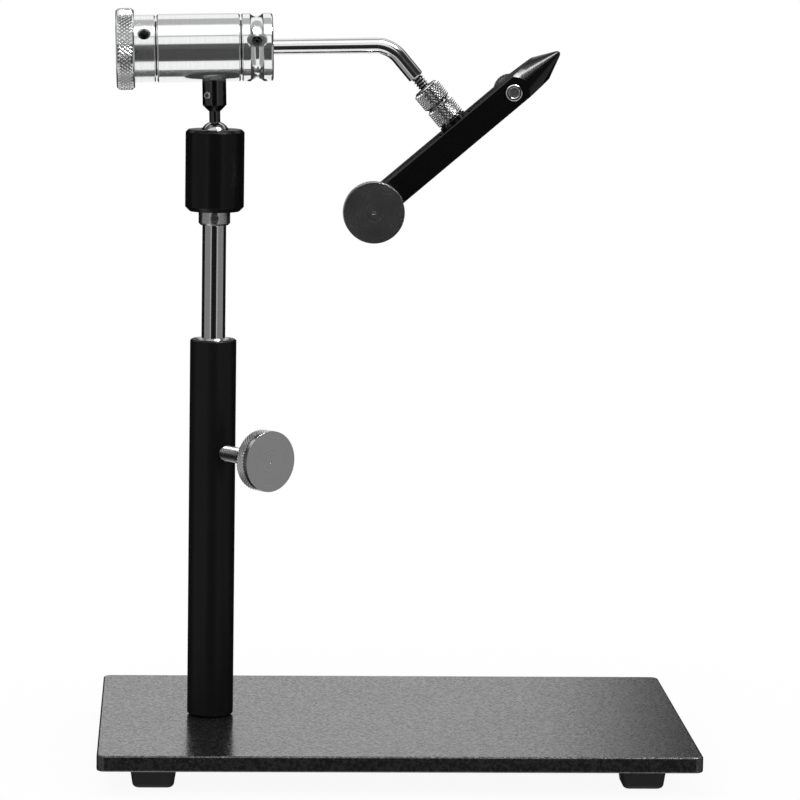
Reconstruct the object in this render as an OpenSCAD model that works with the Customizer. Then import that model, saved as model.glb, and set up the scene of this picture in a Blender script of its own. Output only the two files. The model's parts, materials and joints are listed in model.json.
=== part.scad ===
// Fly tying vise: a rotary head on a ball joint, a sliding post and a flat pedestal base.
// Sizes are in millimetres. X runs along the base towards the jaws, Y away from the viewer, Z up.
// The origin is on the floor, under the middle of the base plate.

/* [Base plate] */
// Length of the plate
plate_l = 234.95; // [180:0.05:300]
// Width of the plate
plate_w = 158.75; // [110:0.05:200]
// Thickness of the plate
plate_t = 6.35; // [5:0.05:10]
// Radius of the plate's upright corners
plate_corner_r = 3.5; // [2:0.1:10]
// Bevel on the plate's edges
plate_edge = 0.8; // [0.3:0.1:1.5]
// Distance from the plate's left end to the post's axis
post_inset = 44.2; // [35:0.1:70]

/* [Feet] */
// Diameter of a rubber foot where it meets the plate
foot_d = 18.6; // [15.6:0.1:24]
// Diameter of a foot at the floor
foot_floor_d = 16.4; // [14:0.1:18.5]
// Height of a foot
foot_h = 9.5; // [5:0.1:12]
// Distance of a foot's axis from the plate's edges
foot_inset = 21.8; // [14:0.1:26]
// Rounding of a foot's lower rim
foot_round = 2; // [0.5:0.1:2.5]
// Thread diameter of the screw that holds a foot
foot_screw_d = 4; // [3:0.1:4.5]

/* [Post] */
// Outside diameter of the black post tube
tube_d = 18.5; // [16:0.1:24]
// Length of the post tube
tube_l = 152.5; // [125:0.1:200]
// Thickness of the tube's solid floor, which takes the bolt
tube_floor = 12; // [9:0.1:16]
// Bevel round the tube's foot
tube_foot_bevel = 1; // [0.3:0.1:2]
// Diameter of the polished post rod
rod_d = 9.525; // [8:0.001:10.5]
// Length of the post rod
rod_l = 151.5; // [145:0.1:165]
// Length of rod that shows between the tube and the ball joint
rod_show = 45.6; // [40:0.1:55]
// Thread diameter of the bolt that holds the tube to the plate
post_bolt_d = 6.35; // [5:0.01:7.5]

/* [Clamp knobs] */
// Diameter of the post knob and of the jaw knob
knob_d = 24.4; // [18:0.1:30]
// Thickness of those knobs
knob_t = 7.5; // [6.5:0.1:10]
// Width of their knurled band
knob_band = 4.6; // [3:0.1:4.7]
// Height of the post knob's axis above the plate
post_knob_h = 107.4; // [85:0.1:125]
// Direction of the post knob, turned from the front towards the jaws, in degrees
post_knob_turn = 37.5; // [0:0.1:90]
// Distance from the post's axis to the post knob's face
post_knob_reach = 37.3; // [30:0.1:42]
// Thread diameter of the post knob's screw
post_screw_d = 6.35; // [5:0.01:8]

/* [Ball joint] */
// Diameter of the steel collar under the ball nut
collar_d = 12.6; // [12:0.1:16]
// Height of that collar
collar_h = 5.5; // [4.5:0.1:9]
// Diameter of the black ball nut
nut_d = 23.4; // [22:0.1:30]
// Height of the ball nut
nut_h = 32.5; // [30:0.1:40]
// Thread diameter inside the ball nut
nut_thread_d = 19; // [17.4:0.1:19.8]
// Diameter of the ball
ball_d = 12; // [11:0.1:13]
// Depth of the ball's centre below the top of the nut
ball_sink = 2.7; // [2.4:0.1:3.2]
// Diameter of the neck above the ball
neck_d = 4.4; // [4:0.01:5.5]
// Height of the neck's top above the ball's centre
neck_h = 10; // [9:0.1:13]
// Diameter of the stem that joins the neck to the head
stem_d = 9.5; // [8.5:0.1:12]

/* [Rotary head] */
// Height of the head's axis above the ball's centre
axis_rise = 34.9; // [34:0.1:42]
// How far the head is tipped nose up, in degrees
head_tilt = 1.5; // [-10:0.1:10]
// Diameter of the fixed housing
housing_d = 27; // [25:0.1:32]
// Length of the housing
housing_l = 33; // [30:0.1:40]
// How far the housing reaches behind the ball joint's axis
housing_back = 22.4; // [18:0.1:24]
// Gap between the housing and what turns against it
head_gap = 0.5; // [0.4:0.05:1]
// Diameter of the knurled wheel
wheel_d = 32.3; // [29:0.1:40]
// Thickness of the knurled wheel
wheel_t = 7.2; // [6:0.1:10]
// Diameter of the wheel's hub
hub_d = 26.6; // [24:0.1:28]
// Length of the hub
hub_l = 8.3; // [7:0.1:12]
// Diameter of the front collar
front_d = 26.9; // [24:0.1:30]
// Length of the front collar
front_l = 12.4; // [11:0.1:16]
// Width of the round groove in the front collar
groove_w = 5.3; // [4.5:0.1:7]
// Depth of that groove
groove_depth = 1.2; // [0.6:0.1:1.8]
// Thread diameter of the set screws in the hub and the collar
head_screw_d = 4; // [3:0.1:4.5]

/* [Rotary arm] */
// Diameter of the arm's rod
arm_d = 6.35; // [6:0.01:7]
// Distance from the ball joint's axis to the corner of the bend
arm_reach = 69.8; // [60:0.1:90]
// Angle of the bend, in degrees
arm_bend = 50.85; // [40:0.05:60]
// Radius of the bend on the rod's centre line
arm_bend_r = 12.5; // [9:0.1:16]
// Length from the corner of the bend to the start of the thread
arm_drop = 16.5; // [14:0.1:22]
// Diameter of the thread
thread_d = 4.76; // [4:0.01:5.2]
// Length of thread that shows above the nuts
thread_show = 5.3; // [4.5:0.1:9]
// Diameter of the two knurled nuts
lock_d = 11.8; // [10:0.1:13]
// Height of the upper, locking nut
lock_h = 8.2; // [5:0.1:10]
// Height of the lower, adjusting nut
adjust_h = 8.4; // [6:0.1:11]

/* [Jaws] */
// Thickness of the two jaws together
bar_t = 18.6; // [18:0.1:22]
// Height of the jaws
bar_h = 10.8; // [10.5:0.1:15]
// Length of the jaws behind the arm
bar_back = 54.4; // [52:0.1:62]
// Distance from the arm to the start of the cone on the jaws' edges
bar_nose = 40.4; // [39.5:0.1:42]
// Half angle of the cone, in degrees
nose_angle = 25.4; // [22:0.1:30]
// Distance from the arm to the jaws' tip
nose_tip = 50.1; // [48:0.1:50.4]
// Distance from the arm to the pivot screw
pivot_s = 25.6; // [22:0.1:26]
// Diameter of the pivot screw's bright head
pivot_head_d = 6.8; // [6.2:0.1:7.5]
// Diameter of the pivot screw behind its head
pivot_d = 5; // [4:0.1:5.5]
// Diameter of the knurled pivot knob at the back
pivot_knob_d = 13; // [11:0.1:16]
// Thickness of the pivot knob
pivot_knob_t = 6.5; // [5:0.1:9]
// Distance from the arm back to the jaw knob's axis
jaw_knob_s = 47.1; // [43:0.1:48]
// Distance from the jaws' split plane to the jaw knob's face
jaw_knob_reach = 18.8; // [18.6:0.1:24]
// Thread diameter of the jaw knob's screw
jaw_screw_d = 5; // [4:0.1:6]
// Gap between the jaws behind the pivot
tail_gap = 2.8; // [2.7:0.1:3.4]

/* [Hidden] */
$fn = 72;

// How far a cutter runs past what it cuts
overrun = 1;
// Radial play between two pieces that are fixed to each other
slip = 0.03;
// Radial play between two pieces that turn or slide on each other
play = 0.05;
// Gap between flat faces that turn or slide on each other
face_gap = 0.05;
// Space past the end of a screw in its hole
end_room = 0.6;
// Wall that a socket leaves at a set screw's inner end
key_floor = 0.8;

// Base: screws and what they sit in
plate_top = foot_h + plate_t;
post_x = post_inset - plate_l / 2;
foot_head_d = 2 * foot_screw_d;
foot_head_h = 0.6 * foot_screw_d;
foot_recess_d = 2.3 * foot_screw_d;
foot_web = 0.4 * foot_h;
foot_screw_reach = plate_t - plate_edge - end_room;
foot_key = 0.62 * foot_screw_d;
bolt_head_d = 2 * post_bolt_d;
bolt_key = 0.63 * post_bolt_d;
bolt_key_depth = 0.45 * post_bolt_d;
bolt_reach = plate_t + 0.8 * tube_floor;

// Post: bore, mouth and bevels of the tube
tube_top = plate_top + tube_l;
tube_bore_d = rod_d + 2 * play;
tube_mouth_d = tube_bore_d + 0.7 * (tube_d - tube_bore_d);
tube_mouth_depth = 1.6;
tube_rim = 0.6;
rod_bevel = 0.8;

// Diamond knurls: width and row spacing of the points, and their height
knurl_pitch = 1.17;
knurl_row = 0.75;
knurl_depth = 0.35;
wheel_knurl_pitch = 1.56;
wheel_knurl_row = 0.97;
// What is turned next to a knurl starts this far below the knurl's roots
knurl_sink = 0.1;

// Clamp knobs
knob_back_bevel = 0.7;
knob_face_bevel = 0.4;
knob_pip_d = 1.5;
knob_pip_depth = 0.5;
post_knob_z = plate_top + post_knob_h;

// Post screw and its brass pad, measured out from the post's axis
post_pad_start = rod_d / 2 + 2 * play;
post_pad_t = 1.5;
post_pad_d = 0.8 * post_screw_d;
post_pin_d = 0.4 * post_screw_d;
post_pin_l = 3.5;
post_screw_start = post_pad_start + post_pad_t + face_gap;
post_screw_end = post_knob_reach - knob_t / 2;

// Ball joint, measured up from the floor
collar_z = tube_top + rod_show;
nut_z = collar_z + collar_h;
nut_top = nut_z + nut_h;
ball_z = nut_top - ball_sink;
ball_play = 0.08;
seat_drop = 0.28 * ball_d;
seat_t = 8;
seat_d = 1.17 * ball_d;
seat_lift = 0.45 * ball_sink;
base_web = 6.5;
seat_floor = ball_z - seat_drop - seat_t;
seat_top = ball_z - seat_drop;
base_top = seat_top - 0.32 * seat_t;
base_start = nut_z + 2 * play;
rod_top = seat_floor - base_web;
rod_bottom = rod_top - rod_l;
collar_bevel = 0.8;
nut_top_bevel = 1.1;
nut_foot_bevel = 1.8;
nut_mouth_d = 13.4;
nut_mouth_depth = 0.55;
nut_lip_d = 2 * sqrt(pow(ball_d / 2 + ball_play, 2) - pow(ball_sink - nut_mouth_depth, 2));
base_screw_d = 3.5;
base_screw_key = 2;

// Stem between the ball and the head, measured up from the ball's centre
stem_cone_h = 2.35;
stem_lip = 0.25;
stem_seat = sqrt(pow(housing_d / 2, 2) - pow(stem_d / 2 + slip, 2));
stem_top = axis_rise - stem_seat;
stem_bevel = 0.4;
spigot_d = 0.67 * stem_d;
bush_d = 10;
spigot_l = stem_seat - bush_d / 2 - 1.5 * overrun;
shank_top = stem_top - 0.2 * (stem_top - neck_h);
stem_screw_d = 3;
stem_screw_key = 1.5;
stem_screw_proud = 1;
stem_screw_z = neck_h + stem_cone_h + 0.4 * (stem_top - neck_h - stem_cone_h);
stem_screw_turn = 32;

// Head, measured along its axis from the ball joint's axis
housing_front = housing_l - housing_back;
housing_bevel = 0.6;
bush_l = 9;
flange_d = 0.8 * housing_d;
flange_t = head_gap - face_gap;
hub_start = housing_back + head_gap;
wheel_back = hub_start + hub_l + wheel_t;
wheel_bevel = 0.6;
hub_bevel = 0.5;
rod_recess = 0.4;
hub_screw_x = hub_start + 0.52 * hub_l;
hub_screw_turn = 28.5;
hub_countersink_d = 1.3 * head_screw_d;
front_start = housing_front + head_gap;
front_bevel = 0.5;
front_round = 1;
groove_x = front_start + front_l / 2 - 0.02 * front_l;
groove_r = (pow(groove_w / 2, 2) + pow(groove_depth, 2)) / (2 * groove_depth);
collar_screw_count = 4;
collar_screw_turn = 15;
collar_countersink_d = 2 * head_screw_d;
head_screw_l = 1.5 * head_screw_d;
head_screw_key = head_screw_d / 2;

// Arm, measured from the corner of its bend down its lower leg
bend_run = arm_bend_r * tan(arm_bend / 2);
// The bend is drawn thinner by this much all round, and laps into the straight legs by an angle
bend_draw = 0.02;
bend_lap = 1.2;
lock_start = arm_drop + thread_show;
adjust_start = lock_start + lock_h + 2 * face_gap;
boss_start = adjust_start + adjust_h + face_gap;
boss_h = 1.4;
bar_drop = boss_start + boss_h + bar_h / 2;
thread_end = bar_drop - 0.05 * bar_h;
thread_bevel = 0.5;
nut_edge = 0.4;
adjust_flange_t = 1;

// Jaws, measured along them from the arm, with the split plane in the middle
split_gap = 0.1;
bar_edge = 0.3;
tail_run = 7;
nose_round = 0.8;
nose_apex = bar_nose + bar_h / 2 / tan(nose_angle);
boss_d = lock_d;
block_w = 1.18 * boss_d;
block_depth = 0.53 * boss_d;
pocket_play = 0.6;
pocket_depth = block_depth + 0.05 * pivot_s;
arm_hole_depth = 0.87 * bar_h;
pivot_proud = 0.6;
pivot_rock = 0.35;
pivot_recess_d = 4.6;
pivot_recess_depth = 0.8;
pivot_key = 2.5;
pivot_key_depth = 2.5;
pivot_knob_start = bar_t / 2 + face_gap;
pivot_knob_end = pivot_knob_start + pivot_knob_t;

// Spring between the jaws, in front of the pivot
spring_s = pivot_s + 0.3 * pivot_s;
spring_d = 4;
spring_wire = 0.6;
spring_turns = 5;
spring_steps = 12;
spring_sides = 6;
spring_room = 0.25;
spring_pocket = 3;
spring_short = 0.5;

// Jaw screw and its brass pad, measured forward from the split plane
jaw_pad_t = 1.2;
jaw_pad_gap = 0.15;
jaw_pad_start = jaw_pad_gap - tail_gap / 2;
jaw_pad_d = 0.84 * jaw_screw_d;
jaw_pin_d = 0.44 * jaw_screw_d;
jaw_pin_l = 3;
jaw_screw_start = jaw_pad_start + jaw_pad_t + face_gap;
jaw_screw_end = jaw_knob_reach - knob_t / 2;

// Colours of the finishes
coated = "#3c3d3f";
black = "#1b1b1d";
rubber = "#222224";
aluminium = "#d4d6d8";
stainless = "#a9acb0";
steel = "#6b6d70";
grub = "#2e2e30";
brass = "#b8923e";
bronze = "#7d6a4a";

// Points of a rounded lower rim, from the flat below out to the side
function lower_rim(side, z, r) = [for (a = [0:15:90]) [side - r + r * sin(a), z + r - r * cos(a)]];
// Points of a rounded shoulder, from the side in to the flat on top
function shoulder(side, z, r) = [for (a = [0:15:90]) [side - r + r * cos(a), z - r + r * sin(a)]];

// Solid of revolution about Z, from points of radius and height
module turned(points) rotate_extrude() polygon(points);

// Round bar up Z from zero with a bevel at each end
module bevelled(d, l, low, high)
    turned([[0, 0], [d / 2 - low, 0], [d / 2, low], [d / 2, l - high], [d / 2 - high, l], [0, l]]);

// Hole or pin up Z from zero
module rod_shape(d, l) cylinder(d = d, h = l);

// Six-sided socket up Z from zero, by its width across flats
module key_hole(width, l) cylinder(d = width / cos(30), h = l, $fn = 6);

// Set screw up Z from zero, with its socket in the far end
module set_screw(d, l, key) difference() {
    bevelled(d - 2 * slip, l, d / 12, d / 12);
    translate([0, 0, max(key_floor, l - 1.2 * key)]) key_hole(key, l);
}

// Round bar up Z whose side is a diamond knurl: four-sided points between crossed grooves
module knurled(d, l, pitch, row) {
    side = 2 * round(PI * d / pitch);
    rows = max(2, round(l / row));
    points = [for (j = [0:rows], i = [0:side - 1])
        let (raised = j > 0 && j < rows && (i + j) % 2 == 0, a = 360 * i / side,
            r = d / 2 - (raised ? 0 : knurl_depth))
        [r * cos(a), r * sin(a), l * j / rows]];
    cells = [for (j = [0:rows - 1], i = [0:side - 1])
        let (n = (i + 1) % side, a = j * side + i, b = j * side + n, c = a + side, e = b + side)
        (i + j) % 2 == 0 ? [[a, c, b], [c, e, b]] : [[a, c, e], [a, e, b]]];
    ends = [[for (i = [0:side - 1]) i], [for (i = [side - 1:-1:0]) rows * side + i]];
    polyhedron(points, concat(ends, [for (c = cells, f = c) f]), convexity = 4);
}

// Clamp knob up Z from its back, with a centre mark in its turned face and a bore in its back
module clamp_knob(bore_d) {
    root = knob_d / 2 - knurl_depth;
    rim = knob_d / 2 - knurl_sink;
    band_end = knob_back_bevel + knob_band;
    difference() {
        union() {
            translate([0, 0, knob_back_bevel]) knurled(knob_d, knob_band, knurl_pitch, knurl_row);
            turned([[0, 0], [root - knob_back_bevel, 0], [root - knurl_sink, knob_back_bevel],
                [root - knurl_sink, band_end], [rim, band_end + knurl_depth],
                [rim, knob_t - knob_face_bevel], [rim - knob_face_bevel, knob_t],
                [knob_pip_d / 2, knob_t], [0, knob_t - knob_pip_depth]]);
        }
        translate([0, 0, -overrun]) rod_shape(bore_d, overrun + knob_t / 2 + end_room);
    }
}

// Threaded shank up Z, with a hole in its low end for a pad's pin
module pad_screw(d, l, pin_d, pin_l) difference() {
    bevelled(d, l, d / 12, d / 12);
    translate([0, 0, -overrun]) rod_shape(pin_d + 2 * play, overrun + pin_l + end_room);
}

// Brass pad up Z, with a pin that holds it in its screw
module screw_pad(d, t, pin_d, pin_l)
    turned([[0, 0], [d / 2 - t / 4, 0], [d / 2, t / 4], [d / 2, t], [pin_d / 2, t],
        [pin_d / 2, t + pin_l], [0, t + pin_l]]);

// Places
module at_feet() for (x = [-1, 1], y = [-1, 1])
    translate([x * (plate_l / 2 - foot_inset), y * (plate_w / 2 - foot_inset), 0]) children();
module at_post() translate([post_x, 0, 0]) children();
module at_post_knob() at_post() translate([0, 0, post_knob_z]) rotate([0, 0, post_knob_turn - 90])
    rotate([0, 90, 0]) children();
module at_ball() at_post() translate([0, 0, ball_z]) rotate([0, -head_tilt, 0]) children();
module at_head() at_ball() translate([0, 0, axis_rise]) children();
// From the head's axis outwards, by the angle above the front
module from_axis(x, angle) translate([x, 0, 0]) rotate([90 - angle, 0, 0]) children();
// Turned pieces that point forwards or backwards along the head's axis
module forwards(x) translate([x, 0, 0]) rotate([0, 90, 0]) children();
module backwards(x) translate([-x, 0, 0]) rotate([0, -90, 0]) children();
// Down the arm's lower leg from the corner of the bend
module at_leg() at_head() translate([arm_reach, 0, 0]) rotate([0, 90 + arm_bend, 0]) children();
// Along the jaws, with Z up through them
module at_bar() at_leg() translate([0, 0, bar_drop]) rotate([0, 180, 0]) children();
// Towards the viewer through the jaws
module through_bar(s) at_bar() translate([s, 0, 0]) rotate([90, 0, 0]) children();

// Base plate: bevelled slab with a countersunk hole for the post and blind holes for the feet
module base_plate() color(coated) difference() {
    hull() for (x = [-1, 1], y = [-1, 1])
        translate([x * (plate_l / 2 - plate_corner_r), y * (plate_w / 2 - plate_corner_r), foot_h])
            bevelled(2 * plate_corner_r, plate_t, plate_edge, plate_edge, $fn = 32);
    at_post() translate([0, 0, foot_h - overrun]) {
        rod_shape(post_bolt_d + 2 * slip, plate_t + 2 * overrun);
        turned([[0, 0], [bolt_head_d / 2 + slip, 0], [bolt_head_d / 2 + slip, overrun],
            [post_bolt_d / 2, overrun + (bolt_head_d - post_bolt_d) / 2 + slip],
            [0, overrun + (bolt_head_d - post_bolt_d) / 2 + slip]]);
    }
    at_feet() translate([0, 0, foot_h - overrun])
        rod_shape(foot_screw_d + 2 * slip, overrun + foot_screw_reach + end_room / 2);
}

// Four rubber feet, each with a recess for its screw's head
module rubber_feet() color(rubber) at_feet() difference() {
    turned(concat([[0, 0]], lower_rim(foot_floor_d / 2, 0, foot_round),
        [[foot_d / 2, foot_h], [0, foot_h]]));
    translate([0, 0, -overrun]) rod_shape(foot_recess_d, overrun + foot_h - foot_web);
    rod_shape(foot_screw_d + 2 * slip, foot_h + overrun);
}

// Screws that hold the feet
module foot_screws() color(steel) at_feet() translate([0, 0, foot_h - foot_web]) difference() {
    union() {
        translate([0, 0, -foot_head_h])
            bevelled(foot_head_d, foot_head_h, foot_head_h / 3, foot_head_h / 9);
        translate([0, 0, -foot_head_h / 2])
            rod_shape(foot_screw_d, foot_head_h / 2 + foot_web + foot_screw_reach);
    }
    translate([0, 0, -foot_head_h - overrun]) key_hole(foot_key, overrun + foot_head_h / 2);
}

// Post tube: blind bore for the rod, bevelled mouth and foot, and a side hole for the screw
module post_tube() color(black) at_post() difference() {
    translate([0, 0, plate_top]) bevelled(tube_d, tube_l, tube_foot_bevel, tube_rim);
    translate([0, 0, plate_top + tube_floor]) rod_shape(tube_bore_d, tube_l);
    translate([0, 0, plate_top - overrun]) rod_shape(post_bolt_d + 2 * slip, overrun + tube_l / 2);
    translate([0, 0, tube_top - tube_mouth_depth])
        cylinder(d1 = tube_bore_d, d2 = tube_mouth_d, h = tube_mouth_depth);
    translate([0, 0, post_knob_z]) rotate([0, 0, post_knob_turn - 90]) rotate([0, 90, 0])
        rod_shape(post_screw_d + 2 * play, tube_d);
}

// Countersunk bolt from below, through the plate into the tube's floor
module post_bolt() color(steel) at_post() translate([0, 0, foot_h]) difference() {
    turned([[0, 0], [bolt_head_d / 2, 0], [post_bolt_d / 2, (bolt_head_d - post_bolt_d) / 2],
        [post_bolt_d / 2, bolt_reach], [0, bolt_reach]]);
    translate([0, 0, -overrun]) key_hole(bolt_key, overrun + bolt_key_depth);
}

// Post clamp: brass pad, screw and knob
module post_screw_pad() color(brass) at_post_knob() translate([0, 0, post_pad_start])
    screw_pad(post_pad_d, post_pad_t, post_pin_d, post_pin_l);
module post_screw() color(stainless) at_post_knob() translate([0, 0, post_screw_start])
    pad_screw(post_screw_d, post_screw_end - post_screw_start, post_pin_d, post_pin_l);
module post_knob() color(stainless) at_post_knob() translate([0, 0, post_knob_reach - knob_t])
    clamp_knob(post_screw_d + 2 * slip);

// Polished rod that slides in the tube
module post_rod() color(stainless) at_post() translate([0, 0, rod_bottom])
    bevelled(rod_d, rod_l, rod_bevel, rod_bevel);

// Steel body of the ball joint: collar on the rod, thread for the nut, pocket for the ball's seat
module ball_base() color(stainless) at_post() difference() {
    union() {
        translate([0, 0, collar_z]) bevelled(collar_d, base_top - collar_z, collar_bevel, collar_bevel);
        translate([0, 0, base_start])
            bevelled(nut_thread_d, base_top - base_start, collar_bevel, collar_bevel);
    }
    translate([0, 0, collar_z - overrun]) rod_shape(rod_d + 2 * slip, overrun + rod_top - collar_z + slip);
    translate([0, 0, seat_floor]) rod_shape(seat_d + 2 * play, seat_t);
    translate([0, 0, collar_z + collar_h / 2]) rotate([90, 0, 0]) rod_shape(base_screw_d, collar_d);
}
module base_set_screw() color(grub) at_post() translate([0, 0, collar_z + collar_h / 2])
    rotate([90, 0, 0]) translate([0, 0, rod_d / 2 + slip])
    set_screw(base_screw_d, collar_d / 2 - rod_d / 2 - 2 * slip, base_screw_key);

// Black nut that presses the ball into its seat
module ball_nut() color(black) at_post() difference() {
    translate([0, 0, nut_z]) bevelled(nut_d, nut_h, nut_foot_bevel, nut_top_bevel);
    translate([0, 0, nut_z - overrun])
        rod_shape(nut_thread_d + 2 * play, overrun + base_top + play - nut_z);
    translate([0, 0, base_top]) rod_shape(seat_d + 2 * play, ball_z - seat_lift - base_top);
    translate([0, 0, ball_z]) sphere(d = ball_d + 2 * ball_play);
    translate([0, 0, nut_top - nut_mouth_depth])
        cylinder(d1 = nut_lip_d, d2 = nut_mouth_d, h = nut_mouth_depth);
}

// Brass seat under the ball, which turns with it
module ball_seat() color(brass) at_post() difference() {
    translate([0, 0, seat_floor + face_gap]) bevelled(seat_d, seat_t - face_gap, seat_t / 12, seat_t / 24);
    translate([0, 0, ball_z]) sphere(d = ball_d + 2 * ball_play);
}

// Ball with its neck, and the shank that the stem is fixed to
module ball_stud() color(stainless) at_ball() {
    sphere(d = ball_d);
    rod_shape(neck_d, shank_top);
}

// Stem from the neck up into the housing, with a cross hole for its set screw
module head_stem() color(steel) at_ball() difference() {
    union() {
        turned([[0, neck_h], [neck_d / 2 + stem_lip, neck_h], [stem_d / 2, neck_h + stem_cone_h],
            [stem_d / 2, stem_top], [0, stem_top]]);
        translate([0, 0, stem_top - overrun]) rod_shape(spigot_d, overrun + spigot_l);
    }
    translate([0, 0, neck_h - overrun]) rod_shape(neck_d + 2 * slip, overrun + shank_top + slip - neck_h);
    at_stem_screw() rod_shape(stem_screw_d, stem_d);
}
module at_stem_screw() translate([0, 0, stem_screw_z]) rotate([0, 0, -90 - stem_screw_turn])
    rotate([0, 90, 0]) children();
module stem_set_screw() color(grub) at_ball() at_stem_screw() translate([0, 0, neck_d / 2 + slip])
    set_screw(stem_screw_d, stem_d / 2 + stem_screw_proud - neck_d / 2 - slip, stem_screw_key);

// Fixed housing of the head, flat-spotted and drilled below for the stem
module head_housing() color(aluminium) at_head() difference() {
    backwards(-housing_front) bevelled(housing_d, housing_l, housing_bevel, housing_bevel);
    backwards(-housing_front - overrun) rod_shape(bush_d + 2 * slip, housing_l + 2 * overrun);
    translate([0, 0, -axis_rise]) rod_shape(stem_d + 2 * slip, stem_top);
    translate([0, 0, -axis_rise]) rod_shape(spigot_d + 2 * slip, stem_top + spigot_l + slip);
}

// Flanged bush up Z from the housing's end, with its flange outside
module flanged_bush() difference() {
    union() {
        rod_shape(flange_d, flange_t);
        translate([0, 0, -bush_l]) bevelled(bush_d, bush_l + flange_t / 2, hub_bevel, flange_t / 4);
    }
    translate([0, 0, -bush_l - overrun]) rod_shape(arm_d + 2 * play, bush_l + flange_t + 2 * overrun);
}
module front_bush() color(bronze) at_head() forwards(housing_front) flanged_bush();
module rear_bush() color(bronze) at_head() backwards(housing_back) flanged_bush();

// Arm: rod through the head, bent down to a threaded end
module rotary_arm() color(stainless) at_head() union() {
    backwards(bend_run - arm_reach)
        rod_shape(arm_d, arm_reach - bend_run + wheel_back - rod_recess);
    translate([arm_reach - bend_run, 0, -arm_bend_r]) rotate([90, 0, 0])
        rotate([0, 0, 90 - arm_bend - bend_lap]) rotate_extrude(angle = arm_bend + 2 * bend_lap)
        translate([arm_bend_r, 0]) circle(d = arm_d - 2 * bend_draw);
    translate([arm_reach, 0, 0]) rotate([0, 90 + arm_bend, 0])
        turned([[0, bend_run], [arm_d / 2, bend_run], [arm_d / 2, arm_drop - thread_bevel],
            [arm_d / 2 - thread_bevel, arm_drop], [thread_d / 2, arm_drop],
            [thread_d / 2, thread_end - thread_bevel], [thread_d / 2 - thread_bevel, thread_end],
            [0, thread_end]]);
}

// Knurled wheel and its hub in one piece, bored for the arm
module rotary_wheel() color(aluminium) at_head() {
    root = wheel_d / 2 - knurl_depth;
    difference() {
        backwards(hub_start) {
            translate([0, 0, hub_l + wheel_bevel])
                knurled(wheel_d, wheel_t - 2 * wheel_bevel, wheel_knurl_pitch, wheel_knurl_row);
            turned([[0, 0], [hub_d / 2 - hub_bevel, 0], [hub_d / 2, hub_bevel], [hub_d / 2, hub_l],
                [root - wheel_bevel, hub_l], [root - knurl_sink, hub_l + wheel_bevel],
                [root - knurl_sink, hub_l + wheel_t - wheel_bevel],
                [root - wheel_bevel, hub_l + wheel_t], [0, hub_l + wheel_t]]);
        }
        backwards(hub_start - overrun) rod_shape(arm_d + 2 * slip, hub_l + wheel_t + 2 * overrun);
        from_axis(-hub_screw_x, hub_screw_turn) {
            rod_shape(head_screw_d, hub_d);
            translate([0, 0, hub_d / 2 - (hub_countersink_d - head_screw_d) / 2])
                cylinder(d1 = head_screw_d, d2 = hub_countersink_d + 2 * overrun,
                    h = (hub_countersink_d - head_screw_d) / 2 + overrun);
        }
    }
}
module wheel_set_screw() color(grub) at_head() from_axis(-hub_screw_x, hub_screw_turn)
    translate([0, 0, arm_d / 2 + slip]) set_screw(head_screw_d, head_screw_l, head_screw_key);

// Front collar: round groove with four countersunk screw holes in it
module front_collar() color(aluminium) at_head() difference() {
    forwards(front_start) turned(concat([[0, 0], [front_d / 2 - front_bevel, 0],
        [front_d / 2, front_bevel]], shoulder(front_d / 2, front_l, front_round), [[0, front_l]]));
    forwards(groove_x) rotate_extrude() translate([front_d / 2 - groove_depth + groove_r, 0])
        circle(r = groove_r);
    forwards(front_start - overrun) rod_shape(arm_d + 2 * slip, front_l + 2 * overrun);
    for (i = [0:collar_screw_count - 1])
        from_axis(groove_x, collar_screw_turn + 360 * i / collar_screw_count) {
            rod_shape(head_screw_d, front_d);
            translate([0, 0, front_d / 2 - (collar_countersink_d - head_screw_d) / 2])
                cylinder(d1 = head_screw_d, d2 = collar_countersink_d + 2 * overrun,
                    h = (collar_countersink_d - head_screw_d) / 2 + overrun);
        }
}
module collar_set_screws() color(grub) at_head() for (i = [0:collar_screw_count - 1])
    from_axis(groove_x, collar_screw_turn + 360 * i / collar_screw_count)
    translate([0, 0, arm_d / 2 + slip]) set_screw(head_screw_d, head_screw_l, head_screw_key);

// Knurled locking nut on the arm's thread
module lock_nut() color(stainless) at_leg() translate([0, 0, lock_start])
    knurled_nut(lock_h, nut_edge);

// Knurled adjusting nut with a smooth flange towards the jaws
module adjusting_nut() color(stainless) at_leg() translate([0, 0, adjust_start])
    knurled_nut(adjust_h, adjust_flange_t);

// Nut up Z, knurled from a bevel at its low end to a smooth land at its high end
module knurled_nut(h, land) {
    root = lock_d / 2 - knurl_depth;
    difference() {
        union() {
            translate([0, 0, nut_edge]) knurled(lock_d, h - nut_edge - land, knurl_pitch, knurl_row);
            turned([[0, 0], [root - nut_edge, 0], [root - knurl_sink, nut_edge],
                [root - knurl_sink, h - land], [root, h - land + knurl_sink], [root, h - nut_edge / 2],
                [root - nut_edge / 2, h], [0, h]]);
        }
        translate([0, 0, -overrun]) rod_shape(thread_d + 2 * play, h + 2 * overrun);
    }
}

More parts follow.
